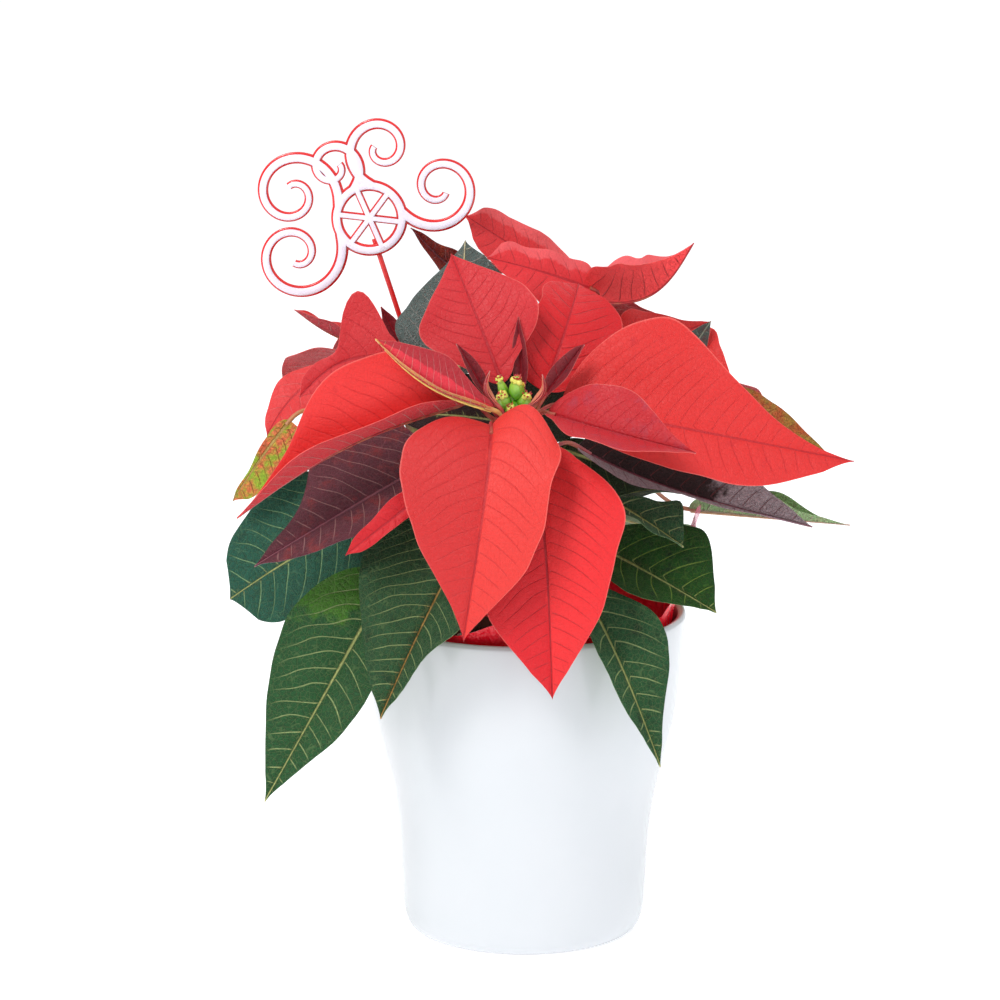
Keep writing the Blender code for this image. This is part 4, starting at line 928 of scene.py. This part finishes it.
def grained_material(name, light, dark, scale, roughness, relief=0.0, relief_scale=0.0, **sockets):
    """A surface whose colour drifts between two tones, with a fine relief, in m."""
    s = Shading(name)
    drift = s.step(s.noise(scale, 4.0, 0.55), 0.3, 0.7)
    rough = s.math("MULTIPLY_ADD", s.noise(scale * 2.3, 3.0), 0.12, roughness - 0.06)
    if relief:
        sockets["Normal"] = s.bump(s.noise(relief_scale, 4.0, 0.6), 1.0, relief)
    s.finish(Base_Color=s.mix(drift, opaque(dark), opaque(light)), Roughness=rough, **sockets)


def stalk_material():
    """Stalks: the tint of each, streaked."""
    s = Shading("stalk")
    streak = s.noise(260.0, 3.0)
    colour = s.mix(s.step(streak, 0.35, 0.7, 0.0, 0.5), s.attribute("main", "Color"), opaque((186, 120, 84)))
    s.finish(Base_Color=colour, Roughness=0.45, Normal=s.bump(streak, 1.0, 0.0002), Subsurface_Weight=0.1)


def foil_material():
    """Tinted see-through film: clearer and paler towards the tips of its free corners."""
    s = Shading("foil")
    rise = s.split(s.attribute("site", "Vector"))[0]
    colour = s.mix(s.step(rise, 0.25, 0.8), opaque((255, 16, 44)), opaque((222, 96, 132)))
    creases = s.math("ADD", s.noise(240.0, 3.0, 0.65), s.noise(900.0, 2.0))
    s.finish(Base_Color=colour, Roughness=0.16, Alpha=s.step(rise, 0.1, 0.8, 0.97, 0.4),
             Normal=s.bump(creases, 0.7, 0.0008), Specular_IOR_Level=0.5, Coat_Weight=0.3,
             Coat_Roughness=0.05)


def cup_material():
    """Skin of the little cups: green, paler towards the mouth."""
    s = Shading("cyathium")
    height = s.split(s.attribute("site", "Vector"))[0]
    colour = s.mix(s.step(height, 0.3, 0.85), opaque((96, 172, 34)), opaque((170, 208, 70)))
    s.finish(Base_Color=colour, Roughness=0.3, Normal=s.bump(s.noise(900.0, 3.0), 1.0, 0.0002),
             Subsurface_Weight=0.1, Specular_IOR_Level=0.7, Coat_Weight=0.4, Coat_Roughness=0.15)


def make_materials():
    for name, skin in SKINS.items():
        leaf_material(name, skin)
    stalk_material()
    foil_material()
    cup_material()
    grained_material("bark", (128, 112, 70), (84, 66, 44), 160, 0.7, 0.0012, 420)
    grained_material("green_bark", (110, 130, 62), (112, 66, 48), 90, 0.5, 0.0004, 500)
    grained_material("gland", (236, 214, 70), (214, 170, 50), 500, 0.25, Coat_Weight=0.4)
    grained_material("lobe", (226, 224, 110), (206, 206, 84), 500, 0.4)
    grained_material("stamen", (206, 70, 66), (170, 36, 44), 500, 0.4)
    grained_material("glaze", (212, 215, 219), (209, 213, 217), 14, 0.22, 0.00003, 30, Coat_Weight=0.3,
                     Coat_Roughness=0.12, Specular_IOR_Level=0.5)
    grained_material("foot", (214, 208, 198), (190, 182, 170), 120, 0.85, 0.0003, 700)
    grained_material("nursery_plastic", (104, 60, 46), (88, 48, 38), 40, 0.5, 0.0003, 600)
    grained_material("soil", (74, 52, 38), (34, 24, 18), 220, 0.95, 0.0025, 700)
    grained_material("clump", (88, 60, 42), (40, 27, 20), 260, 0.95, 0.002, 900)
    grained_material("perlite", (226, 222, 212), (196, 190, 176), 400, 0.9, 0.001, 1200)
    grained_material("pick_red", (226, 36, 34), (206, 26, 28), 60, 0.22, 0.0001, 500, Coat_Weight=0.4,
                     Coat_Roughness=0.1)
    grained_material("pick_white", (240, 234, 246), (230, 222, 238), 60, 0.28, 0.0001, 500, Coat_Weight=0.3,
                     Coat_Roughness=0.12)


SMOOTH_BELOW = radians(48)


def add(name, data):
    """A new object in the scene."""
    obj = bpy.data.objects.new(name, data)
    bpy.context.scene.collection.objects.link(obj)
    return obj


def gathered(patches, field):
    return np.concatenate([getattr(patch, field) for patch in patches])


def piece(name, patches, node):
    """One object from its patches, in place of the node that it stands for."""
    kinds = [kind for patch in patches for kind in patch.slots]
    used = sorted(set(kinds))
    faces = []
    start = 0
    for patch in patches:
        faces += [[start + i for i in face] for face in patch.faces]
        start += len(patch.points)
    mesh = bpy.data.meshes.new(name)
    mesh.from_pydata((gathered(patches, "points") / 1000).tolist(), [], faces)
    mesh.polygons.foreach_set("material_index", [used.index(kind) for kind in kinds])
    for kind in used:
        mesh.materials.append(MATERIALS[kind])
    for field in ("place", "site"):
        made = mesh.attributes.new(field, "FLOAT_VECTOR", "POINT")
        made.data.foreach_set("vector", gathered(patches, field).ravel())
    for field in ("main", "second", "veins"):
        made = mesh.attributes.new(field, "FLOAT_COLOR", "POINT")
        made.data.foreach_set("color", np.insert(gathered(patches, field), 3, 1, axis=1).ravel())
    mesh.shade_smooth()
    mesh.set_sharp_from_angle(angle=SMOOTH_BELOW)
    obj = add(name, mesh)
    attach(obj, "root")
    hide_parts(node)


# Pots, soil and wrap

def smooth_line(points, steps):
    """Points of a smooth curve through the given ones, so many steps to each stretch."""
    p = np.array(points, float)
    p = np.concatenate([[2 * p[0] - p[1]], p, [2 * p[-1] - p[-2]]])
    t = np.arange(steps)[:, None] / steps
    line = []
    for a, b, c, d in zip(p, p[1:], p[2:], p[3:]):
        bend = (2 * a - 5 * b + 4 * c - d) * t**2 + (3 * b - a - 3 * c + d) * t**3
        line.append(0.5 * (2 * b + (c - a) * t + bend))
    return np.concatenate(line + [p[-2:-1]])


def turned_patch(profile, sides, kind, height=None):
    """A closed body turned from a profile that starts and ends on the axis; height may lift its points."""
    rings = np.array(profile[1:-1], float)
    angles = 2 * pi * np.arange(sides) / sides
    points = []
    for r, z in rings:
        rise = height(r, z, angles) if height else np.full(sides, z)
        points.append(np.stack([r * np.cos(angles), r * np.sin(angles), rise], -1))
    points = np.concatenate(points + [[(0, 0, profile[0][1]), (0, 0, profile[-1][1])]])
    return plain_patch(points, ring_quads(len(rings), sides) + end_fans(len(rings), sides), kind)


POT_SIDES = 160


def build_pot():
    outside = smooth_line(list(POT_OUTSIDE) + list(POT_INSIDE[:3]), 7)
    inside = smooth_line(POT_INSIDE[2:], 5)[1:]
    profile = [(0, 0), (30, 0), (46, 0), *outside, *inside, (30, POT_FLOOR), (0, POT_FLOOR)]
    patch = turned_patch(profile, POT_SIDES, "glaze")
    unglazed = [all(patch.points[i][2] == 0 for i in face) for face in patch.faces]
    patch = patch._replace(slots=["foot" if bare else "glaze" for bare in unglazed])
    piece("glazed_pot", [patch], "pot")


NURSERY_LIP = 122
NURSERY_SIDES = 128


def build_nursery_pot():
    rim = nursery_radius(NURSERY_RIM)
    low = NURSERY_FLOOR + NURSERY_BASE
    wall = [(nursery_radius(z), z) for z in np.linspace(NURSERY_FLOOR, NURSERY_LIP, 12)]
    lip = [(rim - 0.2, NURSERY_LIP + 1), (rim + 0.25, NURSERY_LIP + 2), (rim + 0.3, NURSERY_RIM - 0.5),
           (rim, NURSERY_RIM), (rim - NURSERY_WALL, NURSERY_RIM), (rim - NURSERY_WALL - 0.2, NURSERY_RIM - 1)]
    inner = [(nursery_radius(z) - NURSERY_WALL, z) for z in np.linspace(NURSERY_LIP, low, 10)]
    profile = [(0, NURSERY_FLOOR), (20, NURSERY_FLOOR), *wall, *lip, *inner, (20, low), (0, low)]
    patch = turned_patch(profile, NURSERY_SIDES, "nursery_plastic")
    piece("grower_pot", [patch], "nursery_pot")


SOIL_SIDES = 120
SOIL_CLUMPS = 420
SOIL_REACH = 62
PERLITE_EVERY = 14


def soil_top(r, angles):
    """Height of the soil's surface."""
    z = SOIL_TOP + 0.9 * np.sin(5 * angles + 0.2 * r) + 0.7 * np.cos(3 * angles - 0.31 * r)
    return z + 0.5 * np.sin(17 * angles + 1.3 * r) * np.cos(11 * angles - 0.9 * r)


def soil_height(r, z, angles):
    return soil_top(r, angles) if z == SOIL_TOP else np.full(len(angles), z)


def soil_clump(number, r, angle, draw):
    """One clump or grain on the soil."""
    size = draw.uniform(0.7, 2.4)
    at = np.array([r * cos(angle), r * sin(angle), float(soil_top(r, angle)) + size * 0.15])
    axis = [draw.uniform(-1, 1) for _ in range(3)]
    points, faces = egg_mesh(at, axis, size * draw.uniform(0.6, 1), size * draw.uniform(1.4, 2.4), 7, 4)
    jitter = np.array([[draw.uniform(-0.16, 0.16) * size for _ in range(3)] for _ in points])
    return plain_patch(points + jitter, faces, "clump" if number % PERLITE_EVERY else "perlite")


def build_soil():
    floor = NURSERY_FLOOR + NURSERY_BASE + SOIL_GAP
    gap = NURSERY_WALL + SOIL_GAP
    low = nursery_radius(floor) - gap
    high = nursery_radius(SOIL_TOP) - gap
    foot = SOIL_TOP - HOLE_DEPTH
    top = [(r, SOIL_TOP) for r in np.linspace(high, HOLE_RADIUS, 40)]
    profile = [(0, floor), (low * 0.5, floor), (low, floor), (high - 0.1, SOIL_TOP - 3), *top,
               (HOLE_RADIUS, foot), (3, foot), (0, foot)]
    patches = [turned_patch(profile, SOIL_SIDES, "soil", soil_height)]
    draw = random.Random(31)
    for number in range(SOIL_CLUMPS):
        r = SOIL_REACH * draw.uniform(0.02, 1) ** 0.5
        angle = draw.uniform(0, 2 * pi)
        if r >= HOLE_RADIUS + 2.5:
            patches.append(soil_clump(number, r, angle, draw))
    piece("potting_soil", patches, "soil")


WRAP_COLUMNS = 480
WRAP_FILM = 0.22
WRAP_LEVELS = (38, 58, 90, 126, 149)
WRAP_RADII = (52.2, 54.8, 60.9, 66.2, 68.1)
# Between these heights the film turns from its main tint to the paler, clearer one of its corners' tips.
WRAP_TINT_START = 151
WRAP_TINT_REACH = 30


def wrap_grid():
    """Points of the film, column by column: pleated, with smaller pleats on the pleats towards its edge."""
    angles = 2 * pi * np.arange(WRAP_COLUMNS) / WRAP_COLUMNS
    rise = np.array([wrap_corner(a) for a in angles])
    pleats = np.cos(WRAP_PLEATS * angles)
    small = 0.32 * np.sin(53 * angles + 2 * np.sin(3 * angles))
    small = small + 0.22 * np.sin(97 * angles + 3 * np.sin(5 * angles))
    start, top = WRAP_LEVELS[-2:]
    rings = []
    for z in np.linspace(WRAP_LEVELS[0], top, 16):
        depth = max(0.0, (z - start) / (top - start))
        out = np.interp(z, WRAP_LEVELS, WRAP_RADII) + depth * (0.55 * pleats + 0.6 * small)
        rings.append((out, np.full(WRAP_COLUMNS, z)))
    for share in np.linspace(0, 1, 15)[1:]:
        spread = 1.0 + 0.05 * rise * share
        out = WRAP_RADII[-1] + spread * (0.6 * pleats + 0.9 * small) + 0.3 * rise * share**1.3
        rings.append((out, top + 0.5 + (rise + 0.5) * share))
    return np.stack([np.stack([out * np.cos(angles), out * np.sin(angles), z], -1) for out, z in rings], 1)


def build_wrap():
    """The sleeve of film, finer than the solid's."""
    grid = wrap_grid()
    along = np.roll(grid, -1, 0) - np.roll(grid, 1, 0)
    normal = unit(np.cross(along, np.gradient(grid, axis=1)))
    under = grid.shape[0] * grid.shape[1]
    index = np.arange(under).reshape(grid.shape[:2])
    after = np.roll(index, -1, 0)
    quads = strips(index, after)
    low = np.stack([index[:, 0], index[:, 0] + under, after[:, 0] + under, after[:, 0]], -1)
    high = np.stack([index[:, -1], after[:, -1], after[:, -1] + under, index[:, -1] + under], -1)
    faces = np.concatenate([quads, quads[:, ::-1] + under, low, high])
    site = np.zeros(grid.shape)
    site[..., 0] = np.clip((grid[..., 2] - WRAP_TINT_START) / WRAP_TINT_REACH, 0, 1)
    made = plain_patch(two_sides(grid, normal, WRAP_FILM), faces.tolist(), "foil")
    made = made._replace(site=np.tile(site.reshape(-1, 3), (2, 1)))
    piece("film_wrap", [made], "foil_wrap")


# Pick

BEVEL = 0.28
SCROLL_POINTS = 84
RING_POINTS = 73


def bar(stroke, width, near, far):
    """A closed bar with rounded edges along a stroke, between two depths of the ornament."""
    line, first, last = stroke
    closed = np.linalg.norm(line[0] - line[-1]) < 1e-6
    if closed:
        line = line[:-1]
        along = unit(np.roll(line, -1, 0) - np.roll(line, 1, 0))
    else:
        along = unit(np.gradient(line, axis=0))
    count = len(line)
    half = width * np.linspace(first, last, count) / 2
    side = np.stack([-along[:, 1], along[:, 0]], -1)
    ring = ((1, near + BEVEL, 0), (1, near, BEVEL), (-1, near, BEVEL), (-1, near + BEVEL, 0),
            (-1, far - BEVEL, 0), (-1, far, BEVEL), (1, far, BEVEL), (1, far - BEVEL, 0))
    points = []
    for way, depth, inset in ring:
        offset = side * (way * (half - inset))[:, None]
        points.append(np.concatenate([line + offset, np.full((count, 1), depth)], 1))
    faces = []
    for i in range(count if closed else count - 1):
        k = (i + 1) % count
        for m in range(8):
            a, b = m * count, (m + 1) % 8 * count
            faces.append((a + i, b + i, b + k, a + k))
    if not closed:
        faces.append(tuple(m * count for m in range(7, -1, -1)))
        faces.append(tuple(m * count + count - 1 for m in range(8)))
    return in_pick(np.concatenate(points)), faces


def fine_strokes():
    """The ornament's strokes, drawn with close points."""
    turn = np.linspace(0, 2 * pi, RING_POINTS)
    ring = RING_RADIUS * np.stack([np.cos(turn), np.sin(turn)], -1)
    found = [(ring, 0.9, 0.9)]
    for angle in (radians(30), radians(90), radians(150)):
        end = RING_RADIUS * np.array([cos(angle), sin(angle)])
        found.append((np.array([-end, end * 0.999]), 0.6, 0.6))
    for row in SCROLLS:
        found.append((scroll(*row, SCROLL_POINTS), 1.0, 0.6))
    return found


def outward_faces(points, faces):
    """The faces turned so that they look out."""
    volume = 0.0
    for face in faces:
        for i, k in zip(face[1:-1], face[2:]):
            volume += points[face[0]] @ np.cross(points[i], points[k])
    return faces if volume > 0 else [tuple(reversed(face)) for face in faces]


def join_change(first, others):
    """Joins the others to the first where they cross it."""
    change = first.modifiers.new("join", "BOOLEAN")
    change.operation = "UNION"
    change.operand_type = "COLLECTION"
    change.collection = others
    change.solver = "MANIFOLD"


def joined(name, bodies, kind):
    """One patch from several closed bodies."""
    objects = []
    for number, (points, faces) in enumerate(bodies):
        mesh = bpy.data.meshes.new(f"{name}_{number}")
        mesh.from_pydata(points.tolist(), [], outward_faces(points, faces))
        objects.append(bpy.data.objects.new(mesh.name, mesh))
    others = bpy.data.collections.new(name)
    bpy.context.scene.collection.children.link(others)
    bpy.context.scene.collection.objects.link(objects[0])
    for obj in objects[1:]:
        others.objects.link(obj)
    join_change(objects[0], others)
    bpy.context.view_layer.update()
    mesh = objects[0].evaluated_get(bpy.context.evaluated_depsgraph_get()).to_mesh()
    points = np.array([v.co for v in mesh.vertices])
    faces = [list(face.vertices) for face in mesh.polygons]
    for obj in objects:
        bpy.data.objects.remove(obj)
    bpy.data.collections.remove(others)
    return plain_patch(points, faces, kind)


def build_pick():
    foot, head = np.array(STICK_FOOT), np.array(STICK_HEAD)
    line = bezier(foot, foot * 0.67 + head * 0.33, foot * 0.33 + head * 0.67, head, 12)
    stick = tube_mesh(line, (STICK_RADIUS, STICK_RADIUS), 16)
    plates = [bar(stroke, PLATE_STROKE, 0, PLATE_THICKNESS) for stroke in fine_strokes()]
    piece("pick_plate", [joined("plates", plates + [stick], "pick_red")], "pick_back")
    faces = [bar(stroke, FACE_STROKE, -FACE_GAP - FACE_THICKNESS, -FACE_GAP) for stroke in fine_strokes()]
    piece("pick_front", [joined("faces", faces, "pick_white")], "pick_face")


# Plant

# Knots on a stem: how many, how much thicker the stem is there, and their length as a share of the stem's.
KNOTS = 7
KNOT_RISE = 0.1
KNOT_LENGTH = 0.03


def stem_patch(line, radii, sides, kind, seed):
    """A stem with low knots on it."""
    points, faces = tube_mesh(line, radii, sides)
    draw = random.Random(seed)
    knots = [draw.uniform(0, 1) for _ in range(KNOTS)]
    rows = len(points) // sides
    share = np.repeat(np.arange(rows) / (rows - 1), sides)
    centre = points.reshape(rows, sides, 3).mean(1).repeat(sides, 0)
    swell = sum(KNOT_RISE * np.exp(-(((share - knot) / KNOT_LENGTH) ** 2)) for knot in knots)
    points = centre + (points - centre) * (0.97 + np.minimum(swell, 0.16))[:, None]
    return plain_patch(points, faces, kind)


def plane_axes(axis):
    """Two ways at right angles to an axis and to each other."""
    axis = unit(axis)
    side = unit(np.cross(axis, (0, 1, 0.2)))
    return side, np.cross(axis, side)


BLOOM_SIDES = 24


def receptacle(name):
    """The disc that a bloom's bracts grow from."""
    axis = unit(BLOOM_AXES[name])
    profile = smooth_line([(radius, rise) for rise, radius in DISC], 5)
    line = [bloom_centre(name) + axis * rise for _, rise in profile]
    points, faces = tube_mesh(line, (1, 1), BLOOM_SIDES)
    middle = np.repeat(line, BLOOM_SIDES, axis=0)
    points = middle + unit(points - middle) * profile[:, 0].repeat(BLOOM_SIDES)[:, None]
    return plain_patch(points, faces, "green_bark")


CUP_LOBES = 5
CUP_STAMENS = 9


def cup_patches(foot, lean, away, length, radius, draw):
    """One cyathium: its green cup, the uneven lobes round its mouth, its gland and the stamens inside."""
    cup = egg("cyathium", foot + lean * length * CUP_MIDDLE, lean, radius, length, 22, 13, 0.86)
    site = np.zeros((len(cup.points), 3))
    site[:, 0] = (cup.points - foot) @ unit(lean) / length
    patches = [cup._replace(site=site)]
    top = foot + lean * (length * 0.92 - radius * 0.45)
    side, other = plane_axes(lean)
    for i in range(CUP_LOBES):
        angle = 2 * pi * i / CUP_LOBES + draw.uniform(-0.4, 0.4)
        way = cos(angle) * side + sin(angle) * other
        bulge = radius * draw.uniform(0.3, 0.48)
        place = top + way * radius * 0.5 + lean * radius * draw.uniform(-0.3, 0.15)
        patches.append(egg("lobe", place, lean + way * 0.8, bulge, bulge * 1.7, 14, 8))
    lip = foot + lean * length * 0.62 + away * radius * 0.75
    patches.append(egg("gland", lip, np.cross(lean, away), radius * 0.24, radius * 0.6, 14, 8))
    for i in range(CUP_STAMENS):
        angle = 2 * pi * i / CUP_STAMENS + draw.uniform(0, 0.6)
        way = cos(angle) * side + sin(angle) * other
        place = top + way * radius * draw.uniform(0.2, 0.7) + lean * radius * 0.2
        patches.append(egg("stamen", place, lean + way * 0.7, radius * 0.14, radius * 0.7, 8, 5))
    return patches


def cyathia_patches(name):
    """The cups of a bloom, where the solids are."""
    axis = unit(BLOOM_AXES[name])
    side, other = plane_axes(axis)
    centre = bloom_centre(name)
    line = [centre + axis * rise for rise in np.linspace(BOSS[0][0], BOSS[-1][0], 9)]
    patches = [plain_patch(*tube_mesh(line, [radius for _, radius in BOSS], BLOOM_SIDES), "cyathium")]
    count, size = CUP_COUNTS[name]
    for turn, out, rise, radius, length in CUPS[:count]:
        away = cos(radians(turn)) * side + sin(radians(turn)) * other
        lean = unit(axis + away * out * CUP_LEAN)
        foot = centre + axis * (CUP_START + rise * size) + away * out * CUP_SPREAD * size
        patches += cup_patches(foot, lean, away, length * size, radius * size, random.Random(turn))
    return patches


def grown(blades):
    """Patches of some blades: each blade, its stalk and its rib."""
    return [made for b in blades for made in (fine_blade(b), stalk(b), raised_rib(b))]


def blades_of(branch, kind):
    return [b for b in BLADES if (b.branch, b.kind) == (branch, kind)]


def build_plant():
    trunk = stem_patch(bezier(*MAIN_STEM, 40), MAIN_STEM_RADII, 28, "bark", 3)
    piece("woody_stem", [trunk], "main_stem")
    for name, line in BRANCHES.items():
        stem = stem_patch(bezier(*line, 60), BRANCH_RADII, 20, "green_bark", name)
        piece("leaves_" + name, [stem] + grown(blades_of(name, "leaf")), "leafy_stem_" + name)
        bracts = grown(blades_of(name, "bract"))
        piece("bracts_" + name, [receptacle(name)] + bracts, "bloom_" + name)
        piece("cups_" + name, cyathia_patches(name), "cyathia_" + name)
    for b in BLADES:
        if b.kind in LOOSE_KINDS:
            piece(LOOSE_NAMES[b.name] + "_fine", grown([b]), LOOSE_NAMES[b.name])


# Floor, light and camera

FLOOR_REACH = 8.0


def build_stage():
    mesh = bpy.data.meshes.new("floor")
    corners = [(x * FLOOR_REACH, y * FLOOR_REACH, 0) for x, y in ((-1, -1), (1, -1), (1, 1), (-1, 1))]
    mesh.from_pydata(corners, [], [(0, 1, 2, 3)])
    mesh.materials.append(Shading("floor").finish(
        Base_Color=(0.97, 0.97, 0.98, 1), Roughness=0.8,
        Emission_Color=(1.0, 1.0, 1.0, 1), Emission_Strength=0.36))
    add("floor", mesh)


LIGHT_AIM = (0, 0, 0.2)
# Each light: its place, its width and height, its power and its colour.
LIGHTS = {
    "key": ((-0.6, -0.9, 1.35), (0.5, 0.5), 15, (1.0, 0.98, 0.96)),
    "fill": ((1.3, -0.7, 0.9), (1.2, 1.2), 3, (0.95, 0.98, 1.0)),
    "back": ((0.2, 1.4, 1.2), (1.4, 0.9), 5, (1.0, 1.0, 1.0)),
}
SKY_COLOUR = (0.95, 0.975, 1.0, 1)
# The sky is brighter above than below.
SKY_RAMP = {"From Min": -0.1, "From Max": 0.9, "To Min": 0.44, "To Max": 0.84}


def build_lamps():
    for name, (place, size, power, colour) in LIGHTS.items():
        light = bpy.data.lights.new(name, "AREA")
        light.shape = "RECTANGLE"
        light.size, light.size_y = size
        light.energy = power
        light.color = colour
        obj = add(name, light)
        obj.location = place
        obj.rotation_euler = (Vector(LIGHT_AIM) - Vector(place)).to_track_quat("-Z", "Y").to_euler()


def build_sky():
    world = bpy.data.worlds.new("studio")
    world.use_nodes = True
    tree = world.node_tree
    background = tree.nodes["Background"]
    background.inputs["Color"].default_value = SKY_COLOUR
    direction = tree.nodes.new("ShaderNodeTexCoord").outputs["Generated"]
    split = tree.nodes.new("ShaderNodeSeparateXYZ")
    tree.links.new(direction, split.inputs[0])
    rise = tree.nodes.new("ShaderNodeMapRange")
    for key, value in SKY_RAMP.items():
        rise.inputs[key].default_value = value
    tree.links.new(split.outputs[2], rise.inputs["Value"])
    tree.links.new(rise.outputs["Result"], background.inputs["Strength"])
    bpy.context.scene.world = world


CAMERA_PLACE = (-0.01104, -1.7896, 0.5828)
CAMERA_PITCH = 12.05
CAMERA_LENS = 144
CAMERA_SENSOR = 36


def build_camera():
    camera = bpy.data.cameras.new("camera")
    camera.lens = CAMERA_LENS
    camera.sensor_width = CAMERA_SENSOR
    obj = add("camera", camera)
    obj.location = CAMERA_PLACE
    obj.rotation_euler = (radians(90 - CAMERA_PITCH), 0, 0)
    bpy.context.scene.camera = obj
    bpy.context.scene.view_settings.view_transform = "Standard"


make_materials()
build_stage()
build_sky()
build_lamps()
build_camera()
build_pot()
build_nursery_pot()
build_soil()
build_wrap()
build_pick()
build_plant()
